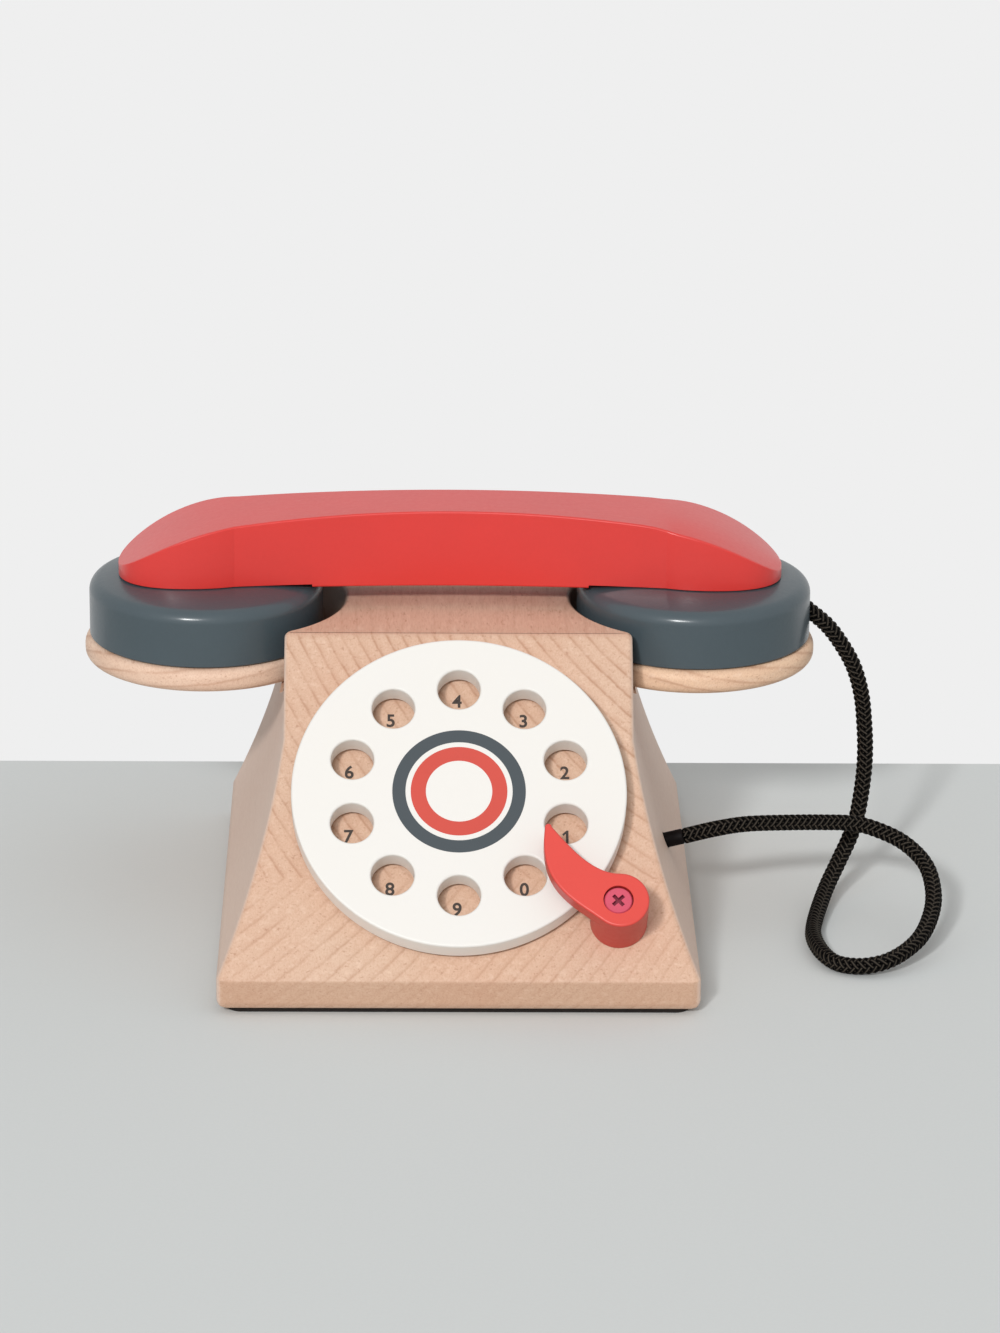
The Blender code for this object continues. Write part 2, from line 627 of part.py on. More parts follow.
def handle_stations():
    """Distances along the handle at which its section is drawn, closer together round the ends."""
    grip_steps = 2 * ARC_STEPS
    reaches = [HANDLE_GRIP_HALF * step / grip_steps for step in range(grip_steps)]
    pad_centre = HANDLE_HALF - HANDLE_PAD_INSET
    start = -math.asin((pad_centre - HANDLE_GRIP_HALF) / HANDLE_PAD_RUN)
    for step in range(ARC_STEPS):
        reaches.append(pad_centre + HANDLE_PAD_RUN * math.sin(start * (1 - step / ARC_STEPS)))
    end_steps = 2 * ARC_STEPS
    for step in range(end_steps + 1):
        reaches.append(pad_centre + HANDLE_PAD_INSET * math.sin(HANDLE_END_ANGLE * step / end_steps))
    return [-reach for reach in reversed(reaches[1:])] + reaches


def make_handle(frame, finish):
    """The carved handle: rounded sections lofted from tip to tip."""
    mesh = bmesh.new()
    rings = []
    for x in handle_stations():
        half = handle_half_depth(abs(x))
        top = handle_top(abs(x))
        soft = min(HANDLE_EDGE_ROUND, HANDLE_ROUND_SHARE * half, HANDLE_ROUND_SHARE * top)
        outline = rounded_rectangle(-half, half, 0, top, soft)
        rings.append([mesh.verts.new((x, y, z)) for y, z in outline])
    for near, far in zip(rings, rings[1:]):
        for index in range(len(near)):
            after = (index + 1) % len(near)
            mesh.faces.new((near[index], near[after], far[after], far[index]))
    mesh.faces.new(rings[0])
    mesh.faces.new(rings[-1])
    return piece("handset_handle", mesh, finish, frame, Matrix.Translation((0, 0, HANDLE_BOTTOM)))


def cup_profile():
    """A turned cup with a rounded upper edge."""
    soft = CUP_EDGE_ROUND
    edge = arc((CUP_RADIUS - soft, CUP_TOP - soft), soft, math.pi / 2, 0, ARC_STEPS)
    return [(0, CUP_TOP)] + edge + [(CUP_RADIUS, CUP_BOTTOM), (0, CUP_BOTTOM)]


def disc_profile():
    """A beech disc with a round rim."""
    soft = DISC_EDGE_ROUND
    top = SEAT_GAP + DISC_THICKNESS
    rim = arc((DISC_RADIUS - soft, top - soft), soft, math.pi / 2, 0, 4)
    rim += arc((DISC_RADIUS - soft, SEAT_GAP + soft), soft, 0, -math.pi / 2, 4)
    return [(0, top)] + rim + [(0, SEAT_GAP)]


def make_ear(side, name, handle, frame, cup_finish, disc_finish, screw_finish):
    """One end of the handset: a cup in its seat, the disc under it and the screw that holds the cup."""
    place = Matrix.Translation((side * CUP_SPACING / 2, 0, 0))
    cup = piece(name + "_cup", turned(cup_profile(), ROUND_STEPS), cup_finish, frame, place)
    piece(name + "_disc", turned(disc_profile(), ROUND_STEPS), disc_finish, frame, place)
    head_down = place @ Matrix.Translation((0, 0, CUP_BOTTOM)) @ Matrix.Rotation(math.pi, 4, "X")
    hole = screw_hole(name + "_screw", CUP_SCREW_LENGTH, SCREW_HEAD_RADIUS, frame, head_down)
    cut(cup, hole)
    cut(handle, hole)
    seat_top = CUP_TOP + SEAT_GAP
    low = HANDLE_BOTTOM - CUT_MARGIN
    rim = arc((0, 0), CUP_SEAT_RADIUS, 0, math.tau, ROUND_STEPS)[:-1]
    cut(handle, tool(name + "_seat", prism(rim, low, seat_top, upright), frame, place))
    screw(name + "_screw", CUP_SCREW_LENGTH, SCREW_HEAD_RADIUS, screw_finish, frame, head_down)
    return cup


def smooth_route(points):
    """Evenly spaced points on a smooth curve through the route's own points."""
    padded = [2 * points[0] - points[1]] + points + [2 * points[-1] - points[-2]]
    fine = []
    for before, start, end, after in zip(padded, padded[1:], padded[2:], padded[3:]):
        fine += bezier(start, start + (end - before) / 6, end - (after - start) / 6, end, SIDE_STEPS)[:-1]
    fine.append(points[-1])
    lengths = [0]
    for near, far in zip(fine, fine[1:]):
        lengths.append(lengths[-1] + (far - near).length)
    count = round(lengths[-1] / CORD_STEP)
    spaced = []
    index = 0
    for step in range(count + 1):
        target = lengths[-1] * step / count
        while index < len(fine) - 2 and lengths[index + 1] < target:
            index += 1
        share = (target - lengths[index]) / (lengths[index + 1] - lengths[index])
        spaced.append(fine[index].lerp(fine[index + 1], share))
    return spaced


def make_cord(cup, base_frame, handset_frame, finish):
    """The cord from its socket in the mouthpiece cup, over the table, to the sleeve in the base."""
    exit_place = Vector((CUP_SPACING / 2 + CUP_RADIUS, 0, CUP_BOTTOM + CORD_EXIT_HEIGHT))
    socket_place = Matrix.Translation(exit_place) @ Matrix.Rotation(math.pi / 2 + CORD_SOCKET_DROOP, 4, "Y")
    radius = CORD_RADIUS + SEAT_GAP
    depth = -CORD_SOCKET_DEPTH - SEAT_GAP
    socket = [(0, CUT_MARGIN), (radius, CUT_MARGIN), (radius, depth), (0, depth)]
    cut(cup, tool("cord_socket", turned(socket, SCREW_STEPS), handset_frame, socket_place))
    start = handset_frame.matrix_basis @ socket_place
    port = base_frame.matrix_basis @ port_matrix()
    inside = start @ Vector((0, 0, -CORD_SOCKET_DEPTH))
    end = port @ Vector((0, 0, SLEEVE_OUTSIDE + SEAT_GAP))
    lead = port @ Vector((0, 0, SLEEVE_OUTSIDE + SEAT_GAP + CORD_STEP))
    middle = [Vector(point) for point in CORD_ROUTE]
    route = smooth_route([inside, start.translation] + middle + [lead, end])
    curve = bpy.data.curves.new("cord", "CURVE")
    curve.dimensions = "3D"
    curve.bevel_depth = CORD_RADIUS
    curve.bevel_resolution = 2
    curve.use_fill_caps = True
    line = curve.splines.new("POLY")
    line.points.add(len(route) - 1)
    for point, place in zip(line.points, route):
        point.co = (*place, 1)
    curve.materials.append(finish)
    cord = bpy.data.objects.new("cord", curve)
    bpy.context.scene.collection.objects.link(cord)
    cord.parent = handset_frame
    cord.matrix_local = handset_frame.matrix_basis.inverted()


def main():
    """Build the telephone."""
    clear_scene()
    beech = material("beech", (0.80, 0.57, 0.42), 0.55)
    ply = material("ply", (0.72, 0.55, 0.38), 0.7)
    felt = material("felt", (0.03, 0.03, 0.03), 0.95)
    steel = material("steel", (0.62, 0.62, 0.64), 0.35, 1.0)
    nylon = material("nylon", (0.85, 0.85, 0.82), 0.5)
    white_paint = material("white_paint", (0.90, 0.89, 0.86), 0.45)
    red_paint = material("red_paint", (0.80, 0.09, 0.07), 0.42)
    red_stop_paint = material("red_stop_paint", (0.80, 0.11, 0.09), 0.42)
    red_screw_paint = material("red_screw_paint", (0.78, 0.10, 0.14), 0.4, 0.3)
    grey_paint = material("grey_paint", (0.08, 0.10, 0.12), 0.38)
    braid = material("braid", (0.012, 0.011, 0.010), 0.8)
    sleeve = material("sleeve", (0.010, 0.008, 0.008), 0.5)

    base_frame = frame_empty(
        "base_frame", Matrix.Translation((BASE_SIDE_SHIFT, -ORIGIN_FROM_FRONT, BASE_LIFT))
    )
    up_slope = Vector((0, math.cos(SLOPE_ANGLE), math.sin(SLOPE_ANGLE)))
    dial_place = Vector((0, 0, LIP_HEIGHT)) + DIAL_UP_SLOPE * up_slope
    dial_frame = frame_empty(
        "dial_frame", Matrix.Translation(dial_place) @ Matrix.Rotation(SLOPE_ANGLE, 4, "X"), base_frame
    )
    cradle_place = Vector((0, CRADLE_FROM_FRONT - ORIGIN_FROM_FRONT, BASE_LIFT + NOTCH_FLOOR))
    handset_frame = frame_empty("handset_frame", Matrix.Translation(cradle_place))

    base = make_base(base_frame, dial_frame, beech)
    make_bottom(base, base_frame, ply, steel, felt)
    make_sleeve(base_frame, sleeve)
    make_dial(dial_frame, white_paint)
    make_axle(dial_frame, steel, nylon, steel)
    make_stop(base, dial_frame, red_stop_paint, red_screw_paint)
    handle = make_handle(handset_frame, red_paint)
    make_ear(-1, "earpiece", handle, handset_frame, grey_paint, beech, steel)
    mouthpiece = make_ear(1, "mouthpiece", handle, handset_frame, grey_paint, beech, steel)
    make_cord(mouthpiece, base_frame, handset_frame, braid)


if __name__ == "__main__":
    main()
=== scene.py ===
"""A wooden toy telephone dressed for the camera: beech base, painted dial and handset, braided cord."""

import json
import math

import bmesh
import bpy
from mathutils import Matrix, Vector

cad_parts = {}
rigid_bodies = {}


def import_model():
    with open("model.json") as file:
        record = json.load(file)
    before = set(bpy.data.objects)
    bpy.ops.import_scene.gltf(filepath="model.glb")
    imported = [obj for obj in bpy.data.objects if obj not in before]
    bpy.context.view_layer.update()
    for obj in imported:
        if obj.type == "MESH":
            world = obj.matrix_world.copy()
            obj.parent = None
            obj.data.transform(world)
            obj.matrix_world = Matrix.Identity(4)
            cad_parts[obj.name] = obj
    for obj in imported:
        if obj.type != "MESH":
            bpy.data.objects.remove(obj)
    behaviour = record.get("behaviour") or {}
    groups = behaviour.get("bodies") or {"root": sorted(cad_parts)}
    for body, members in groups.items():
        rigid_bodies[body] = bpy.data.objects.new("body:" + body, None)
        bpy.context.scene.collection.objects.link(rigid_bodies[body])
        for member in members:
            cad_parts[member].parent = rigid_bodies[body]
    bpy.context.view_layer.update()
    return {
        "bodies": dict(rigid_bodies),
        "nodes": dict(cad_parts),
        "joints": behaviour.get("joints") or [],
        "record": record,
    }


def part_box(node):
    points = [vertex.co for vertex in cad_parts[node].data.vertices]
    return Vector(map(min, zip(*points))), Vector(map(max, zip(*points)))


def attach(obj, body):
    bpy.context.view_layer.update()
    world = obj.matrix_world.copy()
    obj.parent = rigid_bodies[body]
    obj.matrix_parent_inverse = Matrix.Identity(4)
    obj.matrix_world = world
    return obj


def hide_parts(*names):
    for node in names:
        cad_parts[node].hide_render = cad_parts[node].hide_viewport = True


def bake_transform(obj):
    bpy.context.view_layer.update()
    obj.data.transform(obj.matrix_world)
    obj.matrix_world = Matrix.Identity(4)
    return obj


bl_info = {
    "name": "Toy telephone",
    "version": (1, 0, 0),
    "blender": (4, 5, 0),
    "location": "View3D > Sidebar > Telephone",
    "description": "Models a wooden toy telephone on its packed frame",
    "category": "Object",
}

for start_object in list(bpy.data.objects):
    bpy.data.objects.remove(start_object, do_unlink=True)
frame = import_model()

# Where the frame puts things
BASE_LOW, BASE_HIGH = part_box("base_block")
CUP_LOW, CUP_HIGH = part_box("mouthpiece_cup")
DISC_LOW, DISC_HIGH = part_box("mouthpiece_disc")
HANDLE_LOW, HANDLE_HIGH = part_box("handset_handle")
DIAL_JOINT = next(joint for joint in frame["joints"] if joint["name"] == "dial_turn")
BASE_CENTRE_X = (BASE_LOW.x + BASE_HIGH.x) / 2
CRADLE_Y = (CUP_LOW.y + CUP_HIGH.y) / 2

# Points round turned shapes and blocks, from the dial down to the small sockets
LARGE_STEPS = 160
RING_STEPS = 144
BLOCK_STEPS = 96
HOLE_STEPS = 64
BORE_STEPS = 48
SMALL_STEPS = 32

# Points along rounded edges
RIM_STEPS = 8
SOFT_STEPS = 5

# Play round a part in its seat, and how far a cutting shape reaches past what it cuts
SEAT_GAP = 0.0003
OVERCUT = 0.004

# Hearts of the growth rings in the base's upper and lower board, as places across and up
BOARD_HEARTS = ((BASE_CENTRE_X + 0.141, 0.208), (BASE_CENTRE_X - 0.197, 0.255))

# The plain end of the cord rises a little as it leaves the base
SLEEVE_RISE = math.radians(14)
SLEEVE_AXIS = Vector((math.cos(SLEEVE_RISE), 0, math.sin(SLEEVE_RISE)))

# Digits in the order of the finger holes, one for each hole
DIGITS = "1234567890"

# Points along the cord, from inside the mouthpiece cup to the sleeve in the base
CORD_ROUTE = (
    (0.1014, 0.0332, 0.0892),
    (0.1077, 0.0332, 0.0843),
    (0.1134, 0.0333, 0.0793),
    (0.1183, 0.0330, 0.0726),
    (0.1217, 0.0324, 0.0661),
    (0.1240, 0.0313, 0.0580),
    (0.1250, 0.0296, 0.0491),
    (0.1253, 0.0275, 0.0405),
    (0.1246, 0.0248, 0.0320),
    (0.1229, 0.0210, 0.0231),
    (0.1206, 0.0177, 0.0174),
    (0.1171, 0.0127, 0.0117),
    (0.1125, 0.0034, 0.0058),
    (0.1082, -0.0145, 0.0027),
    (0.1073, -0.0273, 0.0028),
    (0.1095, -0.0399, 0.0029),
    (0.1138, -0.0462, 0.0026),
    (0.1214, -0.0487, 0.0032),
    (0.1293, -0.0463, 0.0047),
    (0.1370, -0.0380, 0.0072),
    (0.1414, -0.0272, 0.0105),
    (0.1428, -0.0178, 0.0144),
    (0.1410, -0.0091, 0.0194),
    (0.1349, -0.0031, 0.0239),
    (0.1267, -0.0007, 0.0272),
    (0.1195, -0.0009, 0.0291),
    (0.1105, -0.0030, 0.0302),
    (0.0991, -0.0067, 0.0315),
    (0.0878, -0.0097, 0.0322),
    (0.0791, -0.0110, 0.0313),
    (0.0694, -0.0110, 0.0289),
)


def shade(red, green, blue):
    """A colour read off a screen, turned into the linear values that shaders take."""
    linear = []
    for value in (red / 255, green / 255, blue / 255):
        linear.append(value / 12.92 if value <= 0.04045 else ((value + 0.055) / 1.055) ** 2.4)
    return tuple(linear)


def length(name, default, description):
    """A size in metres that a user may change."""
    return bpy.props.FloatProperty(
        name=name, description=description, default=default, precision=5, subtype="DISTANCE", unit="LENGTH"
    )


def angle(name, degrees, description):
    """An angle that a user may change."""
    return bpy.props.FloatProperty(
        name=name, description=description, default=math.radians(degrees), subtype="ANGLE", unit="ROTATION"
    )


def colour(name, default, description):
    """A colour that a user may change."""
    return bpy.props.FloatVectorProperty(
        name=name, description=description, default=default, size=3, min=0, max=1, subtype="COLOR"
    )


def group(kind, name, description):
    """A group of sizes or colours."""
    return bpy.props.PointerProperty(name=name, description=description, type=kind)


class TelephoneBase(bpy.types.PropertyGroup):
    """Sizes of the beech base."""

    top_width: length("Top width", 0.102, "Width of the base across its upright top")
    lip: length("Lip", 0.009, "Height of the upright lip round the foot")
    slope: angle("Slope", 45.4, "Angle of the dial's face above the table")
    side_straight: length("Upright side", 0.0245, "Height of the upright part below the top")
    side_hollow: length("Hollow", 0.0022, "Depth of the hollow in the flared sides")
    edge_round: length("Edge round", 0.0016, "Softness of the block's upper edges")
    foot_round: length("Foot round", 0.0027, "Softness of the edges round the foot")
    corner_round: length("Corner round", 0.0030, "Softness of the upright corners of the foot")
    lip_round: length("Lip round", 0.0005, "Softness of the edge between the front and the slope")
    notch_depth: length("Notch depth", 0.0189, "Depth of the two cradle notches")
    notch_play: length("Notch play", 0.0028, "Room between a notch and the disc in it")
    notch_corner: length("Notch corner", 0.0035, "Rounding where a notch leaves the side")
    front_wall: length("Front wall", 0.016, "Thickness of wood behind the dial")
    back_wall: length("Back wall", 0.018, "Thickness of wood at the back of the pocket")
    pocket_width: length("Pocket width", 0.080, "Width of the pocket under the base")
    pocket_roof: length("Pocket roof", 0.012, "Thickness of wood between pocket and notches")
    glue_line: length("Glue line", 0.0333, "Height of the joint between the two boards")


class TelephoneDial(bpy.types.PropertyGroup):
    """Sizes of the dial and the finger stop."""

    radius: length("Radius", 0.0483, "Radius of the dial")
    thickness: length("Thickness", 0.0073, "Thickness of the dial")
    standoff: length("Standoff", 0.0012, "Gap between the dial and the sloped face")
    edge_round: length("Edge round", 0.0007, "Softness of the dial's edges")
    hole_radius: length("Hole radius", 0.0062, "Radius of a finger hole")
    hole_circle: length("Hole circle", 0.0323, "Distance of the finger holes from the centre")
    first_hole: angle("First hole", -18, "Place of the first finger hole")
    digit_height: length("Digit height", 0.0042, "Height of a painted digit")
    digit_circle: length("Digit circle", 0.0328, "Distance of the digits from the centre")
    grey_outer: length("Grey ring outside", 0.0192, "Outer radius of the grey ring")
    grey_inner: length("Grey ring inside", 0.0154, "Inner radius of the grey ring")
    red_outer: length("Red ring outside", 0.0139, "Outer radius of the red ring")
    red_inner: length("Red ring inside", 0.00955, "Inner radius of the red ring")
    ring_rise: length("Ring rise", 0.00006, "Thickness of the paint of the rings")
    stop_radius: length("Stop radius", 0.0082, "Radius of the finger stop's boss")
    stop_angle: angle("Stop angle", -39, "Place of the finger stop beside the dial")
    stop_gap: length("Stop gap", 0.0023, "Gap between the dial's rim and the boss")
    horn_thickness: length("Horn thickness", 0.0056, "Thickness of the stop's horn")
    horn_clearance: length("Horn clearance", 0.0025, "Gap between the dial and the horn")


class TelephoneHandset(bpy.types.PropertyGroup):
    """Sizes of the handset."""

    cup_spacing: length("Cup spacing", 0.1456, "Distance between the cups' centres")
    cup_round: length("Cup edge", 0.0040, "Rounding of a cup's upper edge")
    cup_flat: length("Cup flat", 0.020, "Radius of the flat middle of a cup's top")
    cup_lean: angle("Cup lean", 12, "Fall of a cup's top where it meets its rounded edge")
    disc_round: length("Disc edge", 0.003, "Rounding of a disc's rim")
    seat_radius: length("Seat radius", 0.0343, "Radius of the seat under the handle that a cup fits in")
    grip_depth: length("Grip depth", 0.0220, "Depth of the handle at its waist")
    pad_depth: length("Pad depth", 0.0354, "Depth of the handle's round ends")
    pad_inset: length("Pad inset", 0.021, "Distance of a pad's widest place from the tip")
    pad_run: length("Pad run", 0.028, "Length over which a pad widens")
    arch_radius: length("Arch radius", 0.55, "Radius of the long arch of the handle's top")
    arch_rise: length("Arch rise", 0.0004, "Height of the arch above the blank it is shaped from")
    shoulder_inset: length("Shoulder inset", 0.0345, "Distance from the tip at which the top droops")
    shoulder_radius: length("Shoulder radius", 0.059, "Radius of the drooping shoulders")
    edge_round: length("Edge round", 0.0006, "Softness of the handle's long edges")
    pad_crown: length("Pad crown", 0.0010, "Fall of the mouthpiece's pad toward its edges")
    crown_start: length("Crown start", 0.058, "Distance from the middle at which that pad starts to fall")
    crown_run: length("Crown run", 0.010, "Length over which the fall grows to its full size")


class TelephoneCord(bpy.types.PropertyGroup):
    """Sizes of the braided cord."""

    diameter: length("Diameter", 0.0048, "Diameter of the cord")
    strand_width: length("Strand width", 0.00124, "Width of one strand of the braid")
    strand_thickness: length("Strand thickness", 0.0009, "Thickness of one strand of the braid")
    sleeve_radius: length("Sleeve radius", 0.0023, "Radius of the plain end at the base")
    strands: bpy.props.IntProperty(
        name="Strands", description="Strands in each direction", default=6, min=4, max=12
    )


class TelephoneColours(bpy.types.PropertyGroup):
    """Colours of the finishes."""

    beech_light: colour("Beech", shade(217, 185, 161), "Early wood of the beech")
    beech_dark: colour("Beech rings", shade(172, 126, 98), "Late wood of the beech")
    red: colour("Red", shade(217, 51, 45), "Paint of the handle")
    stop_red: colour("Stop red", shade(220, 71, 61), "Paint of the finger stop")
    screw_red: colour("Screw red", shade(212, 80, 104), "Paint of the stop's screw")
    slate: colour("Slate", shade(70, 82, 88), "Paint of the cups")
    white: colour("White", shade(231, 228, 223), "Paint of the dial")
    ring_grey: colour("Ring grey", shade(65, 73, 78), "Printed grey ring")
    ring_red: colour("Ring red", shade(206, 75, 62), "Printed red ring")
    ink: colour("Ink", shade(62, 52, 47), "Painted digits")
    disc_light: colour("Earpiece disc", shade(235, 206, 183), "Early wood of the earpiece's disc")
    disc_warm: colour("Mouthpiece disc", shade(236, 202, 171), "Early wood of the mouthpiece's disc")
    braid: colour("Braid", shade(5, 4, 4), "Threads of the cord")
    floor: colour("Floor", shade(213, 216, 215), "Plain floor")
    wall: colour("Background", shade(239, 239, 239), "Plain background")


def settings():
    """The scene's own sizes and colours."""
    return bpy.context.scene.telephone


class Telephone(bpy.types.PropertyGroup):
    """All sizes and colours of the telephone."""

    base: group(TelephoneBase, "Base", "Sizes of the base")
    dial: group(TelephoneDial, "Dial", "Sizes of the dial")
    handset: group(TelephoneHandset, "Handset", "Sizes of the handset")
    cord: group(TelephoneCord, "Cord", "Sizes of the cord")
    colours: group(TelephoneColours, "Colours", "Colours of the finishes")


# Modelling by hand


def deselect():
    """Leave edit mode and select nothing."""
    if bpy.context.mode != "OBJECT":
        bpy.ops.object.mode_set(mode="OBJECT")
    bpy.ops.object.select_all(action="DESELECT")


def make_active(thing):
    """Select one object alone."""
    deselect()
    thing.select_set(True)
    bpy.context.view_layer.objects.active = thing


def draw_line(name, points):
    """Draw a line point by point in a new mesh, and leave it all selected and open for editing."""
    deselect()
    bpy.ops.mesh.primitive_plane_add(size=0.01)
    thing = bpy.context.object
    thing.name = name
    thing.data.name = name
    bpy.ops.object.mode_set(mode="EDIT")
    bpy.ops.mesh.select_all(action="SELECT")
    bpy.ops.mesh.merge(type="CENTER")
    bpy.ops.transform.translate(value=points[0])
    for near, far in zip(points, points[1:]):
        bpy.ops.mesh.extrude_vertices_move(TRANSFORM_OT_translate={"value": Vector(far) - Vector(near)})
    bpy.ops.mesh.select_all(action="SELECT")
    return thing


def draw_face(name, points):
    """Draw a closed outline and fill it."""
    points = [Vector(point) for point in points]
    thing = draw_line(name, points + points[:1])
    merge_doubles()
    bpy.ops.mesh.edge_face_add()
    return thing


def merge_doubles():
    """Join doubled points in the open mesh, and leave it all selected."""
    bpy.ops.mesh.select_all(action="SELECT")
    bpy.ops.mesh.remove_doubles(threshold=0.000001)
    bpy.ops.mesh.select_all(action="SELECT")


def close_shell():
    """Join doubled points, turn the faces outwards and go back to object mode."""
    merge_doubles()
    bpy.ops.mesh.normals_make_consistent(inside=False)
    bpy.ops.object.mode_set(mode="OBJECT")


def draw_block(name, points, step):
    """Draw a closed outline and pull it out into a block."""
    thing = draw_face(name, points)
    bpy.ops.mesh.extrude_region_move(TRANSFORM_OT_translate={"value": step})
    close_shell()
    return thing


def turn_shape(name, profile, steps):
    """Turn a profile of (radius, height) points round the upright axis."""
    thing = draw_line(name, [Vector((radius, 0, height)) for radius, height in profile])
    bpy.ops.mesh.spin(steps=steps, angle=math.tau, center=(0, 0, 0), axis=(0, 0, 1))
    close_shell()
    return thing


def rod(name, radius, bottom, top, steps):
    """A plain upright cylinder."""
    return turn_shape(name, [(0, top), (radius, top), (radius, bottom), (0, bottom)], steps)


def put(thing, place):
    """Move a finished shape to its place and keep the place in its mesh."""
    make_active(thing)
    thing.matrix_world = place
    bpy.ops.object.transform_apply(location=True, rotation=True, scale=True)
    return thing


def apply_modifier(thing, kind, **values):
    """Add a modifier, set it and apply it."""
    make_active(thing)
    change = thing.modifiers.new(kind.lower(), kind)
    for name, value in values.items():
        setattr(change, name, value)
    bpy.ops.object.modifier_apply(modifier=change.name)


def cut(thing, shape, operation="DIFFERENCE"):
    """Take a shape out of a piece, or join the two, and remove the shape."""
    apply_modifier(thing, "BOOLEAN", operation=operation, solver="EXACT", object=shape)
    bpy.data.objects.remove(shape, do_unlink=True)


def round_edges(thing, width_at, segments, limit):
    """Soften the edges that are sharper than a limit in degrees, each by its own width."""
    apply_modifier(thing, "WELD", merge_threshold=0.00003)
    mesh = bmesh.new()
    mesh.from_mesh(thing.data)
    weights = mesh.edges.layers.float.new("bevel_weight_edge")
    widths = {}
    for edge in mesh.edges:
        if edge.calc_face_angle(0) > math.radians(limit):
            widths[edge] = width_at(*[vert.co for vert in edge.verts])
    widest = max(widths.values())
    for edge, width in widths.items():
        edge[weights] = width / widest
    mesh.to_mesh(thing.data)
    mesh.free()
    apply_modifier(
        thing, "BEVEL", limit_method="WEIGHT", width=widest, segments=segments, use_clamp_overlap=False
    )


def smooth(thing, limit=35):
    """Smooth shading that keeps the edges sharper than a limit in degrees."""
    make_active(thing)
    bpy.ops.object.shade_smooth_by_angle(angle=math.radians(limit))
    apply_modifier(thing, "WEIGHTED_NORMAL", keep_sharp=True)


def dress(thing, finish, body, slot, *nodes):
    """Give a piece its finish and its body, and hide the nodes it stands for."""
    thing.data.materials.clear()
    thing.data.materials.append(finish)
    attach(thing, body)
    if nodes:
        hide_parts(*nodes)


def arc(centre, radius, start, end, steps):
    """Points along a circular arc, both ends included."""
    points = []
    for step in range(steps + 1):
        turn = start + (end - start) * step / steps
        points.append((centre[0] + radius * math.cos(turn), centre[1] + radius * math.sin(turn)))
    return points


def circle(radius, steps, centre=(0, 0)):
    """Points round a circle."""
    return arc(centre, radius, 0, math.tau, steps)[:-1]


def soft_rim(radius, top, bottom, soft, steps):
    """The profile of a rim that is rounded above and below."""
    upper = arc((radius - soft, top - soft), soft, math.pi / 2, 0, steps)
    return upper + arc((radius - soft, bottom + soft), soft, 0, -math.pi / 2, steps)


def level(outline, height):
    """A flat outline's points at a height."""
    return [Vector((x, y, height)) for x, y in outline]


def curve(start, first, second, end, steps):
    """Points along a cubic curve, both ends included."""
    points = []
    for step in range(steps + 1):
        done = step / steps
        left = 1 - done
        point = left ** 3 * start + 3 * left * left * done * first
        points.append(point + 3 * left * done * done * second + done ** 3 * end)
    return points


def rounded_rectangle(left, right, front, back, radius, steps):
    """A rectangle's outline with round corners, anticlockwise."""
    outline = []
    corners = ((right, back), (left, back), (left, front), (right, front))
    for quarter, (x, y) in enumerate(corners):
        inward_x = math.copysign(radius, (left + right) / 2 - x)
        inward_y = math.copysign(radius, (front + back) / 2 - y)
        start = quarter * math.pi / 2
        outline += arc((x + inward_x, y + inward_y), radius, start, start + math.pi / 2, steps)
    return outline


def grown_box(low, high, grow, radius):
    """The outline of a box seen from above, made larger all round, with round corners."""
    return rounded_rectangle(low.x - grow, high.x + grow, low.y - grow, high.y + grow, radius, RIM_STEPS)


def divide(outline, step):
    """An outline with points added along its long edges."""
    points = []
    for near, far in zip(outline, outline[1:] + outline[:1]):
        parts = max(round(math.dist(near, far) / step), 1)
        for part in range(parts):
            share = part / parts
            points.append((near[0] + (far[0] - near[0]) * share, near[1] + (far[1] - near[1]) * share))
    return points


def aim(point, axis):
    """The place of a shape that stands at a point with its Z axis along another axis."""
    return Matrix.Translation(point) @ axis.to_track_quat("Z", "Y").to_matrix().to_4x4()


def dial_place():
    """The dial's own frame: centre on the sloped face, Z axis out of it."""
    turn = Matrix.Rotation(settings().base.slope, 4, "X")
    return Matrix.Translation(DIAL_JOINT["pos_m"]) @ turn


def around_dial(number, distance):
    """The place of one of the ten holes or digits in the dial's frame."""
    turn = settings().dial.first_hole + number * math.tau / len(DIGITS)
    return distance * Vector((math.cos(turn), math.sin(turn), 0))


# Finishes


def feed(tree, socket, value):
    """Set a socket, or link it when the value is another node's socket."""
    if isinstance(value, bpy.types.NodeSocket):
        tree.links.new(value, socket)
    elif socket.type == "RGBA" and len(value) == 3:
        socket.default_value = (*value, 1)
    else:
        socket.default_value = value


def add(tree, kind, sockets, **values):
    """A node with its settings and inputs."""
    made = tree.nodes.new("ShaderNode" + kind)
    for name, value in values.items():
        setattr(made, name, value)
    for name, value in sockets.items():
        feed(tree, made.inputs[name], value)
    return made


def coordinates(tree, location=(0, 0, 0), rotation=(0, 0, 0), scale=(1, 1, 1)):
    """The piece's own coordinates, moved, turned and stretched."""
    source = add(tree, "TexCoord", {})
    values = {"Vector": source.outputs["Object"], "Location": location, "Rotation": rotation, "Scale": scale}
    return add(tree, "Mapping", values).outputs["Vector"]


def noise(tree, vector, scale, detail=3.0, rough=0.5):
    """A grey cloud pattern."""
    values = {"Vector": vector, "Scale": scale, "Detail": detail, "Roughness": rough}
    return add(tree, "TexNoise", values).outputs["Fac"]


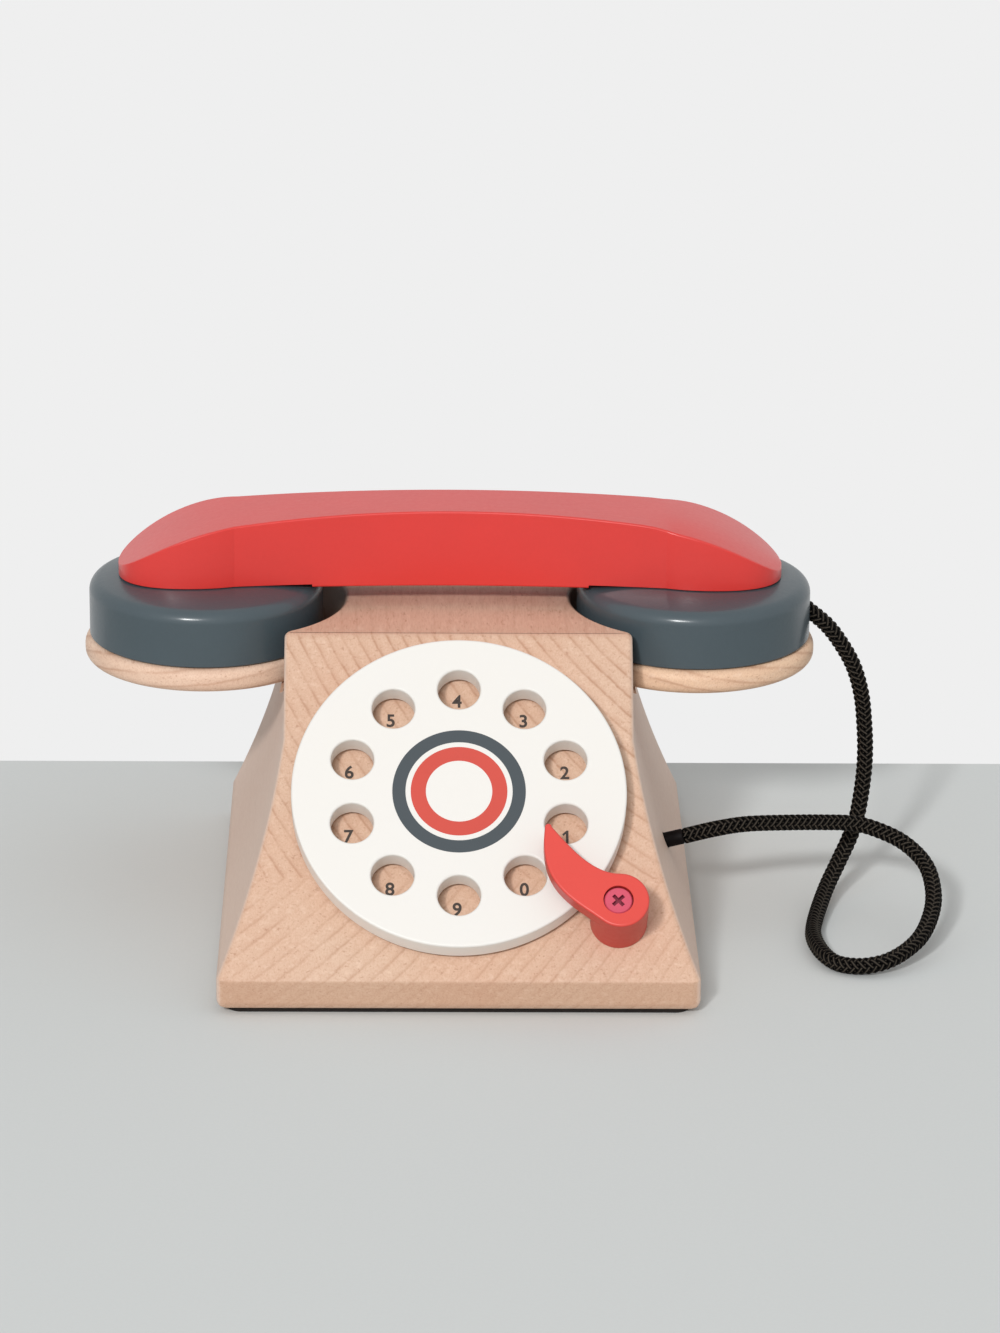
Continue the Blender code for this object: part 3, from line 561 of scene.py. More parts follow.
def ramp(tree, value, *stops):
    """A grey value drawn through stops of (place, grey)."""
    made = add(tree, "ValToRGB", {"Fac": value})
    marks = made.color_ramp.elements
    while len(marks) < len(stops):
        marks.new(0.5)
    for mark, (place, grey) in zip(marks, stops):
        mark.position = place
        mark.color = (grey, grey, grey, 1)
    return made.outputs["Color"]


def compute(tree, operation, *values):
    """One step of arithmetic on grey values."""
    return add(tree, "Math", dict(enumerate(values)), operation=operation).outputs["Value"]


# Sockets of a mix node for its share, its two colours and the mixed colour
MIX_SHARE = 0
MIX_FIRST = 6
MIX_SECOND = 7
MIX_RESULT = 2


def mix(tree, share, first, second, kind="MIX"):
    """Two colours mixed by a share."""
    values = {MIX_SHARE: share, MIX_FIRST: first, MIX_SECOND: second}
    return add(tree, "Mix", values, data_type="RGBA", blend_type=kind).outputs[MIX_RESULT]


def bump(tree, height, strength, distance):
    """A surface relief."""
    return add(tree, "Bump", {"Height": height, "Strength": strength, "Distance": distance}).outputs["Normal"]


def darker(tone, share):
    """A colour that keeps a share of its light."""
    return [share * value for value in tone]


def fill(tree, shader, tone, roughness, relief):
    """Give a shader its colour, roughness and relief."""
    for name, value in (("Base Color", tone), ("Roughness", roughness), ("Normal", relief)):
        feed(tree, shader.inputs[name], value)


def new_finish(name, **constants):
    """A new finish with a principled shader; constants are set on the shader's own sockets."""
    finish = bpy.data.materials.new(name)
    finish.use_nodes = True
    shader = finish.node_tree.nodes["Principled BSDF"]
    for key, value in constants.items():
        feed(finish.node_tree, shader.inputs[key.replace("_", " ").title().replace("Ior", "IOR")], value)
    return finish, finish.node_tree, shader


def rings(tree, heart, turn, spacing):
    """Growth rings round a heart outside the board, as a saw-tooth value."""
    spacing_at_scale_one = math.tau / 20
    values = {
        "Vector": coordinates(tree, (-heart[0], 0, -heart[1]), turn),
        "Scale": spacing_at_scale_one / spacing,
        "Distortion": 2.3,
        "Detail": 5.0,
        "Detail Scale": 0.3,
        "Detail Roughness": 0.68,
    }
    made = add(tree, "TexWave", values, wave_type="RINGS", rings_direction="Y", wave_profile="SAW")
    return made.outputs["Fac"]


def notch_radius():
    """Radius of a cradle notch: a disc's own and its play."""
    return (DISC_HIGH.x - DISC_LOW.x) / 2 + settings().base.notch_play


def notch_shade_share(tree, place):
    """One on the walls of the cradle notches, where shade is painted into the beech, and nought elsewhere."""
    full_depth, fading_depth = 0.0003, 0.0014
    aside = compute(tree, "ABSOLUTE", compute(tree, "SUBTRACT", place.outputs["X"], BASE_CENTRE_X))
    aside = compute(tree, "SUBTRACT", aside, settings().handset.cup_spacing / 2)
    back = compute(tree, "SUBTRACT", place.outputs["Y"], CRADLE_Y)
    back_squared = compute(tree, "MULTIPLY", back, back)
    reach = compute(tree, "SQRT", compute(tree, "MULTIPLY_ADD", aside, aside, back_squared))
    values = {"Value": reach, "To Min": 1.0, "To Max": 0.0}
    values["From Min"] = notch_radius() + full_depth
    values["From Max"] = notch_radius() + fading_depth
    inside = add(tree, "MapRange", values).outputs["Result"]
    floor = BASE_HIGH.z - settings().base.notch_depth
    above = compute(tree, "GREATER_THAN", place.outputs["Z"], floor + full_depth)
    return compute(tree, "MULTIPLY", inside, above)


# Tones in the beech: cloudy drift, fibres, ray flecks, pale streaks, and a paler tone on the boards' sides
# that is partly their flat-sawn wood and partly painted light that brightens them
DRIFT_TONE = shade(208, 158, 130)
FIBRE_TONE = shade(184, 134, 106)
RAY_TONE = shade(168, 118, 92)
PALE_TONE = shade(236, 208, 186)
SIDE_TONE_AND_LIGHT = shade(222, 200, 186)

# Share of the paler side tone, partly painted light, that is laid over the boards' sides
SIDE_TONE_AND_LIGHT_SHARE = 0.7

# Light that the beech keeps on its ends, and painted shade on the walls of the cradle notches
END_LIGHT = (0.83, 0.78, 0.74)
NOTCH_PAINTED_SHADE = (0.3, 0.23, 0.19)

# One growth ring from its start to its late wood, as (place, darkness)
RING_PROFILE = ((0.0, 0.4), (0.08, 0.08), (0.4, 0.0), (0.8, 0.24), (0.93, 0.85), (1.0, 0.6))

# Shares of the rings' darkness that sides, top and ends lose, and that the lower board keeps
FAINT_LOSS = 0.65
LOWER_DARKNESS = 0.65


def beech(name, tone, hearts, turn=(0, 0, 0), split=None, spacing=0.0036, contrast=0.95):
    """Beech with growth rings, flecks and fibres along its own Y axis; split is the height of a glue line."""
    finish, tree, shader = new_finish(name, specular_ior_level=0.35)
    value = rings(tree, hearts[0], turn, spacing)
    if split is not None:
        source = add(tree, "TexCoord", {})
        place = add(tree, "SeparateXYZ", {"Vector": source.outputs["Object"]})
        upper = compute(tree, "GREATER_THAN", place.outputs["Z"], split)
        value = mix(tree, upper, rings(tree, hearts[1], turn, spacing), value)
    late = ramp(tree, value, *RING_PROFILE)
    clouds = noise(tree, coordinates(tree, rotation=turn), scale=70, detail=4)
    late = compute(tree, "MULTIPLY", late, ramp(tree, clouds, (0.3, 0.2), (0.65, contrast)))
    if split is not None:
        facing = add(tree, "SeparateXYZ", {"Vector": source.outputs["Normal"]})
        sideways, upward, ends = [
            ramp(tree, compute(tree, "ABSOLUTE", facing.outputs[axis]), (low, 0.0), (high, 1.0))
            for axis, low, high in (("X", 0.5, 0.85), ("Z", 0.85, 0.97), ("Y", 0.8, 0.95))
        ]
        faint = compute(tree, "MAXIMUM", compute(tree, "MAXIMUM", sideways, upward), ends)
        by_face = compute(tree, "MULTIPLY_ADD", faint, -FAINT_LOSS, 1.0)
        by_board = compute(tree, "MULTIPLY_ADD", upper, 1 - LOWER_DARKNESS, LOWER_DARKNESS)
        late = compute(tree, "MULTIPLY", compute(tree, "MULTIPLY", late, by_face), by_board)
    tone = mix(tree, late, tone, settings().colours.beech_dark)
    drift = noise(tree, coordinates(tree, rotation=turn), scale=22, detail=4)
    fine = coordinates(tree, rotation=turn, scale=(2200, 260, 2200))
    fibres = noise(tree, fine, scale=1, detail=4, rough=0.6)
    rays = noise(tree, coordinates(tree, rotation=turn, scale=(900, 240, 1700)), scale=1, rough=0.55)
    streaks = noise(tree, coordinates(tree, (0.7, 0.2, 0.4), turn, (500, 140, 900)), scale=1)
    for pattern, low, high, most, mark in (
        (drift, 0.35, 0.7, 0.34, DRIFT_TONE),
        (fibres, 0.42, 0.75, 0.4, FIBRE_TONE),
        (rays, 0.6, 0.72, 0.5, RAY_TONE),
        (streaks, 0.55, 0.75, 0.35, PALE_TONE),
    ):
        tone = mix(tree, ramp(tree, pattern, (low, 0.0), (high, most)), tone, mark)
    if split is not None:
        # Paler sides: partly the wood's own tone, partly painted light that brightens the faces turned
        # sideways
        tone = mix(tree, compute(tree, "MULTIPLY", sideways, SIDE_TONE_AND_LIGHT_SHARE), tone, SIDE_TONE_AND_LIGHT)
        tone = mix(tree, ends, tone, END_LIGHT, "MULTIPLY")
        # Painted shade on the notch walls, standing in for the dark of the deep gap round each cup
        tone = mix(tree, notch_shade_share(tree, place), tone, NOTCH_PAINTED_SHADE, "MULTIPLY")
    roughness = compute(tree, "MULTIPLY_ADD", fibres, 0.2, 0.46)
    fill(tree, shader, tone, roughness, bump(tree, fibres, strength=0.1, distance=0.0003))
    return finish


def paint(name, tone, dark_tone, roughness, grain=0.10, coat=0.0, shine=0.5, blur=0.17):
    """Sprayed paint over wood: faint clouds, fine orange peel and a trace of the grain below."""
    finish, tree, shader = new_finish(name, coat_weight=coat, coat_roughness=blur, specular_ior_level=shine)
    clouds = noise(tree, coordinates(tree), scale=55)
    fine = noise(tree, coordinates(tree), scale=900, rough=0.6)
    peel = noise(tree, coordinates(tree), scale=420, detail=2)
    fibres = noise(tree, coordinates(tree, scale=(60, 700, 900)), scale=1, detail=2)
    share = compute(tree, "MULTIPLY_ADD", clouds, 0.5, compute(tree, "MULTIPLY", fine, 0.3))
    tone = mix(tree, ramp(tree, share, (0.25, 0.0), (0.6, 0.55)), tone, dark_tone)
    spread = 0.12
    varied = compute(tree, "MULTIPLY_ADD", fine, spread, roughness - spread / 2)
    relief = compute(tree, "MULTIPLY_ADD", fibres, 0.6, peel)
    fill(tree, shader, tone, varied, bump(tree, relief, strength=grain, distance=0.0004))
    return finish


def plain(name, tone, dark_tone, roughness, scale, metallic=0.0, shine=0.5):
    """A finish for small parts: mottled colour and fine relief."""
    finish, tree, shader = new_finish(name, metallic=metallic, specular_ior_level=shine)
    grain = noise(tree, coordinates(tree), scale, detail=4, rough=0.6)
    spread, smoothest = 0.25, roughness - 0.12
    varied = compute(tree, "MULTIPLY_ADD", grain, spread, smoothest)
    relief = bump(tree, grain, strength=0.2, distance=0.0003)
    fill(tree, shader, mix(tree, grain, tone, dark_tone), varied, relief)
    return finish


def braid_finish():
    """Spun thread: fine twisted fibres along each strand, with a painted sheen on some of them along its
    crest.
    """
    sheen_tone = shade(92, 84, 74)
    finish, tree, shader = new_finish("braid", specular_ior_level=0.06)
    threads = add(tree, "TexCoord", {}).outputs["UV"]
    twisted = add(tree, "Mapping", {"Vector": threads, "Rotation": (0, 0, 0.5), "Scale": (9, 1, 1)})
    fibres = noise(tree, twisted.outputs["Vector"], scale=6, rough=0.6)
    across = add(tree, "SeparateXYZ", {"Vector": threads}).outputs["X"]
    # Painted sheen along each strand's outward crest, broken up by the fibres
    crest = ramp(tree, across, (0.16, 0.0), (0.25, 1.0), (0.34, 0.0))
    crest_sheen = compute(tree, "MULTIPLY", crest, ramp(tree, fibres, (0.35, 0.25), (0.65, 1.0)))
    tone = mix(tree, crest_sheen, settings().colours.braid, sheen_tone)
    roughness = compute(tree, "MULTIPLY_ADD", fibres, 0.2, 0.5)
    fill(tree, shader, tone, roughness, bump(tree, fibres, strength=0.5, distance=0.0002))
    return finish


# Stage


class TELEPHONE_OT_stage(bpy.types.Operator):
    """Floor, background, soft light and camera"""

    bl_idname = "telephone.stage"
    bl_label = "Stage"

    def execute(self, context):
        colours = settings().colours
        far_edge = 0.1281
        reach = 4.0
        deselect()
        bpy.ops.mesh.primitive_plane_add(size=1)
        floor = context.object
        floor.name = "floor"
        floor.scale = (2 * reach, reach + far_edge, 1)
        floor.location = (0, (far_edge - reach) / 2, 0)
        make_active(floor)
        bpy.ops.object.transform_apply(location=True, rotation=True, scale=True)
        finish, tree, shader = new_finish("floor_card", specular_ior_level=0.2)
        speckle = noise(tree, coordinates(tree), scale=900, detail=2)
        tone = mix(tree, speckle, colours.floor, darker(colours.floor, 0.97))
        feed(tree, shader.inputs["Base Color"], tone)
        feed(tree, shader.inputs["Roughness"], compute(tree, "MULTIPLY_ADD", speckle, 0.1, 0.75))
        floor.data.materials.append(finish)
        self.light(context, colours)
        self.camera(context)
        return {"FINISHED"}

    def light(self, context, colours):
        """A white room that is brighter above and at the right, and two lamps at the front left."""
        all_round, from_above, from_right = 0.30, 0.37, 0.2
        world = bpy.data.worlds.new("room")
        context.scene.world = world
        world.use_nodes = True
        tree = world.node_tree
        tree.nodes.clear()
        path = add(tree, "LightPath", {})
        seen = compute(tree, "MAXIMUM", path.outputs["Is Camera Ray"], path.outputs["Is Glossy Ray"])
        seen = compute(tree, "MAXIMUM", seen, path.outputs["Is Transmission Ray"])
        source = add(tree, "TexCoord", {})
        direction = add(tree, "SeparateXYZ", {"Vector": source.outputs["Generated"]})
        strength = compute(tree, "MULTIPLY_ADD", direction.outputs["Z"], from_above, all_round)
        strength = compute(tree, "MULTIPLY_ADD", direction.outputs["X"], from_right, strength)
        lit = add(tree, "Background", {"Color": (1, 1, 1), "Strength": strength})
        shown = add(tree, "Background", {"Color": colours.wall, "Strength": 1.0})
        mixed = add(tree, "MixShader", {0: seen, 1: lit.outputs[0], 2: shown.outputs[0]})
        add(tree, "OutputWorld", {"Surface": mixed.outputs[0]})
        self.lamp(context, "key", (-0.57, -1.6, 1.0), distance=9.0, sizes=(0.8, 0.8), brightness=146)
        self.lamp(context, "softbox", (-0.4, -1.65, 1.0), distance=6.0, sizes=(1.3, 0.5), brightness=54)
        context.scene.view_settings.view_transform = "Standard"

    def lamp(self, context, name, toward, distance, sizes, brightness):
        """A rectangular lamp that looks at the telephone."""
        target = Vector((0, 0, 0.05))
        direction = Vector(toward).normalized()
        bpy.ops.object.light_add(type="AREA", location=target + distance * direction)
        lamp = context.object
        lamp.name = name
        lamp.rotation_euler = direction.to_track_quat("Z", "Y").to_euler()
        lamp.data.shape = "RECTANGLE"
        lamp.data.size, lamp.data.size_y = sizes
        lamp.data.energy = math.pi * sizes[0] * sizes[1] * brightness

    def camera(self, context):
        """A long lens, a little above and straight in front."""
        place = (-0.0123, -1.52503, 0.61615)
        yaw, pitch, roll = -0.0176, 0.3393, 0.0094
        look = Vector((-math.sin(yaw) * math.cos(pitch), math.cos(yaw) * math.cos(pitch), -math.sin(pitch)))
        right = Vector((math.cos(yaw), math.sin(yaw), 0))
        up = right.cross(look)
        level = math.cos(roll) * right + math.sin(roll) * up
        above = math.cos(roll) * up - math.sin(roll) * right
        bpy.ops.object.camera_add(location=place)
        camera = context.object
        camera.name = "camera"
        camera.rotation_euler = Matrix((level, above, -look)).transposed().to_euler()
        camera.data.sensor_fit = "HORIZONTAL"
        camera.data.sensor_width = 36
        camera.data.lens = 198
        camera.data.clip_start = 0.05
        context.scene.camera = camera


# Cord


def smooth_route(points, step):
    """Evenly spaced points on a smooth curve through the route's own points."""
    fine_steps = 40
    padded = [2 * points[0] - points[1]] + points + [2 * points[-1] - points[-2]]
    fine = []
    for before, start, end, after in zip(padded, padded[1:], padded[2:], padded[3:]):
        fine += curve(start, start + (end - before) / 6, end - (after - start) / 6, end, fine_steps)[:-1]
    fine.append(points[-1])
    lengths = [0]
    for near, far in zip(fine, fine[1:]):
        lengths.append(lengths[-1] + (far - near).length)
    count = round(lengths[-1] / step)
    spaced = []
    index = 0
    for number in range(count + 1):
        target = lengths[-1] * number / count
        while index < len(fine) - 2 and lengths[index + 1] < target:
            index += 1
        share = (target - lengths[index]) / (lengths[index + 1] - lengths[index])
        spaced.append(fine[index].lerp(fine[index + 1], share))
    return spaced, lengths[-1]


def carried_frames(points):
    """A side and an up direction at each point, carried along without twist."""
    frames = []
    side = Vector((0, 1, 0))
    for index, point in enumerate(points):
        before = points[max(index - 1, 0)]
        after = points[min(index + 1, len(points) - 1)]
        along = (after - before).normalized()
        side = (side - side.dot(along) * along).normalized()
        frames.append((point, side, along.cross(side)))
    return frames


def add_tube(mesh, layer, rings_of_points, around, step):
    """Skin a row of point rings; the map runs across and along the strand."""
    made = [[mesh.verts.new(point) for point in ring] for ring in rings_of_points]
    for row, (near, far) in enumerate(zip(made, made[1:])):
        for index in range(around):
            after = (index + 1) % around
            face = mesh.faces.new((near[index], near[after], far[after], far[index]))
            face.smooth = True
            corners = ((index, row), (index + 1, row), (index + 1, row + 1), (index, row + 1))
            for loop, (across, along) in zip(face.loops, corners):
                loop[layer].uv = (across / around, along * step)
    mesh.faces.new(made[0])
    mesh.faces.new(made[-1])


# Sides of one strand of the braid and of the core inside it, and how many points apart the core's rings are
STRAND_SIDES = 8
CORE_SIDES = 10
CORE_STRIDE = 3

# How far a strand moves out and in as it passes over and under the others
STRAND_WAVE = 0.0003


class TELEPHONE_OT_cord(bpy.types.Operator):
    """Braided cord from the mouthpiece to the base, and its plain end"""

    bl_idname = "telephone.cord"
    bl_label = "Cord"

    def execute(self, context):
        sizes = settings().cord
        route, total = smooth_route([Vector(point) for point in CORD_ROUTE], step=0.00045)
        frames = carried_frames(route)
        step = total / (len(route) - 1)
        mesh = bmesh.new()
        layer = mesh.loops.layers.uv.new("threads")
        half_thick = sizes.strand_thickness / 2
        middle = sizes.diameter / 2 - half_thick - STRAND_WAVE / 2
        for family in (1, -1):
            for number in range(sizes.strands):
                rows = [
                    self.strand_ring(frame, index * step, family, number, middle, sizes)
                    for index, frame in enumerate(frames)
                ]
                add_tube(mesh, layer, rows, STRAND_SIDES, step / sizes.strand_width)
        core = middle - half_thick
        rows = []
        for point, side, up in frames[::CORE_STRIDE]:
            turns = self.turns(CORE_SIDES)
            rows.append([point + core * (math.cos(turn) * side + math.sin(turn) * up) for turn in turns])
        add_tube(mesh, layer, rows, CORE_SIDES, CORE_STRIDE * step / sizes.strand_width)
        bmesh.ops.recalc_face_normals(mesh, faces=mesh.faces)
        data = bpy.data.meshes.new("cord_braid")
        mesh.to_mesh(data)
        mesh.free()
        cord = bpy.data.objects.new("cord_braid", data)
        context.scene.collection.objects.link(cord)
        data.materials.append(braid_finish())
        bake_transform(cord)
        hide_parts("cord")
        self.sleeve(sizes)
        return {"FINISHED"}

    def turns(self, count):
        """Angles round a ring."""
        return [math.tau * number / count for number in range(count)]

    def strand_ring(self, frame, along, family, number, middle, sizes):
        """One strand's section: a flat oval that winds round the cord, over and under the others."""
        point, side, up = frame
        winding = 1 / middle
        crossing = sizes.strands * winding * along / math.pi
        turn = math.tau * number / sizes.strands + family * winding * along
        lift = family * STRAND_WAVE * math.cos(math.pi / 2 * (family * crossing + 2 * number - 0.5))
        outward = math.cos(turn) * side + math.sin(turn) * up
        round_about = math.cos(turn) * up - math.sin(turn) * side
        forward = side.cross(up)
        across = (round_about - family * forward).normalized()
        centre = point + (middle + lift) * outward
        wide = sizes.strand_width / 2 * across
        thick = sizes.strand_thickness / 2 * outward
        turns = self.turns(STRAND_SIDES)
        return [centre + math.cos(place) * wide + math.sin(place) * thick for place in turns]

    def sleeve(self, sizes):
        """The plain end of the cord, set in the base's side."""
        radius = sizes.sleeve_radius
        outside, inside, soft = 0.0055, 0.007, 0.0007
        profile = [(0, outside)] + arc((radius - soft, outside - soft), soft, math.pi / 2, 0, SOFT_STEPS)
        profile += [(radius, -inside), (0, -inside)]
        sleeve = turn_shape("cord_end", profile, SMALL_STEPS)
        low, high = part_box("cord_sleeve")
        mouth = (low + high) / 2 + SLEEVE_AXIS * (inside - outside) / 2
        put(sleeve, aim(mouth, SLEEVE_AXIS))
        smooth(sleeve)
        tones = (shade(14, 8, 8), shade(8, 5, 5))
        finish = plain("cord_end_sleeve", *tones, roughness=0.6, scale=700, shine=0.12)
        dress(sleeve, finish, "base", "sleeve", "cord_sleeve")


# Base


class TELEPHONE_OT_base(bpy.types.Operator):
    """Beech block with its slope, cradle notches, pocket and bores"""

    bl_idname = "telephone.base"
    bl_label = "Base"

    def execute(self, context):
        sizes = settings().base
        height = BASE_HIGH.z - BASE_LOW.z
        depth = BASE_HIGH.y - BASE_LOW.y
        half = (BASE_HIGH.x - BASE_LOW.x) / 2
        base = draw_block("beech_base", self.front_outline(sizes, half, height), (0, depth, 0))
        put(base, Matrix.Translation((BASE_CENTRE_X, BASE_LOW.y, BASE_LOW.z)))
        self.cut_slope(base, sizes)
        for side in (-1, 1):
            cut(base, self.notch(side, sizes))
        round_edges(base, self.edge_width, segments=5, limit=30)
        cut(base, self.pocket(sizes, height, depth))
        cut(base, self.rebate())
        bore_radius, bore_depth = 0.0055, 0.020
        cut(base, put(rod("bore", bore_radius, -bore_depth, OVERCUT, BORE_STEPS), dial_place()))
        cut(base, self.port())
        smooth(base, limit=30)
        wood = beech("beech_boards", settings().colours.beech_light, BOARD_HEARTS, split=sizes.glue_line)
        dress(base, wood, "base", "beech", "base_block")
        return {"FINISHED"}

    def edge_width(self, start, end):
        """How far an edge is rounded: most at the corners of the foot, least at the foot of the slope."""
        sizes = settings().base
        below_lip = 0.9 * sizes.lip
        if (start.z + end.z) / 2 < BASE_LOW.z + below_lip:
            upright = abs(start.z - end.z) > sizes.lip / 2
            return sizes.corner_round if upright else sizes.foot_round
        if max(start.y, end.y) < BASE_LOW.y + sizes.lip_round:
            return sizes.lip_round
        return sizes.edge_round

    def front_outline(self, sizes, half, height):
        """The block seen from the front: upright lip, hollow flare, upright top."""
        steps = 24
        flare_top = height - sizes.side_straight
        right = [Vector((half, 0, 0))]
        for step in range(steps + 1):
            share = step / steps
            wide = half + (sizes.top_width / 2 - half) * share - 4 * sizes.side_hollow * share * (1 - share)
            right.append(Vector((wide, 0, sizes.lip + (flare_top - sizes.lip) * share)))
        right.append(Vector((sizes.top_width / 2, 0, height)))
        return right + [Vector((-point.x, 0, point.z)) for point in reversed(right)]

    def cut_slope(self, base, sizes):
        """Slice the block along the dial's face."""
        make_active(base)
        bpy.ops.object.mode_set(mode="EDIT")
        bpy.ops.mesh.select_all(action="SELECT")
        bpy.ops.mesh.bisect(
            plane_co=(0, BASE_LOW.y, BASE_LOW.z + sizes.lip),
            plane_no=(0, -math.sin(sizes.slope), math.cos(sizes.slope)),
            use_fill=True,
            clear_outer=True,
        )
        close_shell()

    def notch(self, side, sizes):
        """The room for one cup: its circle, with rounded corners where it leaves the side."""
        corner_steps, bowl_steps = 10, 64
        wall = sizes.top_width / 2
        soft = sizes.notch_corner
        radius = notch_radius()
        centre = settings().handset.cup_spacing / 2
        corner = wall - soft
        half = math.sqrt((radius + soft) ** 2 - (centre - corner) ** 2)
        lean = math.atan2(half, centre - corner)
        outline = arc((corner, -half), soft, 0, lean, corner_steps)
        outline += arc((centre, 0), radius, -math.pi + lean, -math.pi - lean, bowl_steps)[1:-1]
        outline += arc((corner, half), soft, -lean, 0, corner_steps)
        outline += [(wall + OVERCUT, half), (wall + OVERCUT, -half)]
        low = BASE_HIGH.z - sizes.notch_depth
        points = [Vector((BASE_CENTRE_X + side * x, CRADLE_Y + y, low)) for x, y in outline]
        return draw_block("notch", points, (0, 0, sizes.notch_depth + OVERCUT))

    def pocket(self, sizes, height, depth):
        """The pocket under the slope; its front follows the slope."""
        roof = height - sizes.notch_depth - sizes.pocket_roof
        setback = sizes.front_wall / math.sin(sizes.slope)
        back = depth - sizes.back_wall
        front_low, front_roof = [
            (setback + (z - sizes.lip) / math.tan(sizes.slope), z) for z in (-OVERCUT, roof)
        ]
        outline = [front_low, (back, -OVERCUT), (back, roof), front_roof]
        left = BASE_CENTRE_X - sizes.pocket_width / 2
        points = [Vector((left, BASE_LOW.y + y, BASE_LOW.z + z)) for y, z in outline]
        return draw_block("pocket", points, (sizes.pocket_width, 0, 0))

    def rebate(self):
        """The shallow seat of the bottom plate."""
        corner = 0.0063
        low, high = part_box("bottom_plate")
        outline = level(grown_box(low, high, SEAT_GAP, corner), low.z - OVERCUT)
        return draw_block("rebate", outline, (0, 0, high.z - low.z + OVERCUT + SEAT_GAP))

    def port(self):
        """The socket of the cord's plain end."""
        inside, outside = 0.0066, 0.012
        low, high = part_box("cord_sleeve")
        radius = settings().cord.sleeve_radius + SEAT_GAP
        return put(rod("port", radius, -inside, outside, SMALL_STEPS), aim((low + high) / 2, SLEEVE_AXIS))


# Dial


class TELEPHONE_OT_dial(bpy.types.Operator):
    """Painted dial with ten finger holes and two printed rings"""

    bl_idname = "telephone.dial"
    bl_label = "Dial"

    def execute(self, context):
        sizes = settings().dial
        colours = settings().colours
        front = sizes.standoff + sizes.thickness
        rim = soft_rim(sizes.radius, front, sizes.standoff, sizes.edge_round, SOFT_STEPS)
        dial = turn_shape("dial_disc", [(0, front)] + rim + [(0, sizes.standoff)], LARGE_STEPS)
        for number in range(len(DIGITS)):
            cut(dial, put(self.hole(sizes), Matrix.Translation(around_dial(number, sizes.hole_circle))))
        seat_radius, seat_bottom, seat_top = 0.0053, -0.003, 0.0057
        cut(dial, rod("axle_seat", seat_radius, seat_bottom, seat_top, BORE_STEPS))
        put(dial, dial_place())
        smooth(dial, limit=30)
        white = paint("dial_white", colours.white, shade(232, 228, 221), roughness=0.42, grain=0.06)
        dress(dial, white, "dial", "white_paint", "dial_plate")
        self.ring("grey_ring", sizes.grey_inner, sizes.grey_outer, front, colours.ring_grey, "grey_paint")
        self.ring("red_ring", sizes.red_inner, sizes.red_outer, front, colours.ring_red, "red_paint")
        return {"FINISHED"}

    def hole(self, sizes):
        """A finger hole's shape, opening out into soft rims at both faces."""
        soft = sizes.edge_round
        front = sizes.standoff + sizes.thickness
        wide = sizes.hole_radius + soft
        opening = math.radians(105)
        upper = arc((wide, front - soft), soft, opening, math.pi, SOFT_STEPS)
        lower = arc((wide, sizes.standoff + soft), soft, math.pi, math.tau - opening, SOFT_STEPS)
        above = [(0, front + OVERCUT), (upper[0][0], front + OVERCUT)]
        below = [(lower[-1][0], -OVERCUT), (0, -OVERCUT)]
        return turn_shape("finger_hole", above + upper + lower + below, HOLE_STEPS)

    def ring(self, name, inner, outer, front, tone, slot):
        """A thin printed ring on the dial."""
        root = 0.0002
        high = front + settings().dial.ring_rise
        low = front - root
        soft = settings().dial.ring_rise / 2
        profile = [(inner, low), (outer, low), (outer, high - soft), (outer - soft, high)]
        profile += [(inner + soft, high), (inner, high - soft), (inner, low)]
        ring = put(turn_shape(name, profile, RING_STEPS), dial_place())
        smooth(ring)
        finish = paint(name + "_ink", tone, darker(tone, 0.88), roughness=0.42, grain=0.06)
        dress(ring, finish, "dial", slot)


# Digits


# Half the thickness of a digit's paint, and how far its strokes are made bolder
DIGIT_DEPTH = 0.00004
DIGIT_BOLDNESS = 0.00012

# Text size for one unit of a digit's height; digits of the built-in face fill 0.7 of the size
DIGIT_TEXT_SIZE = 0.92 / 0.7

# Place of a digit beside a hole's centre
DIGIT_SHIFT = Vector((-0.0005, -0.0005, 0.00003))


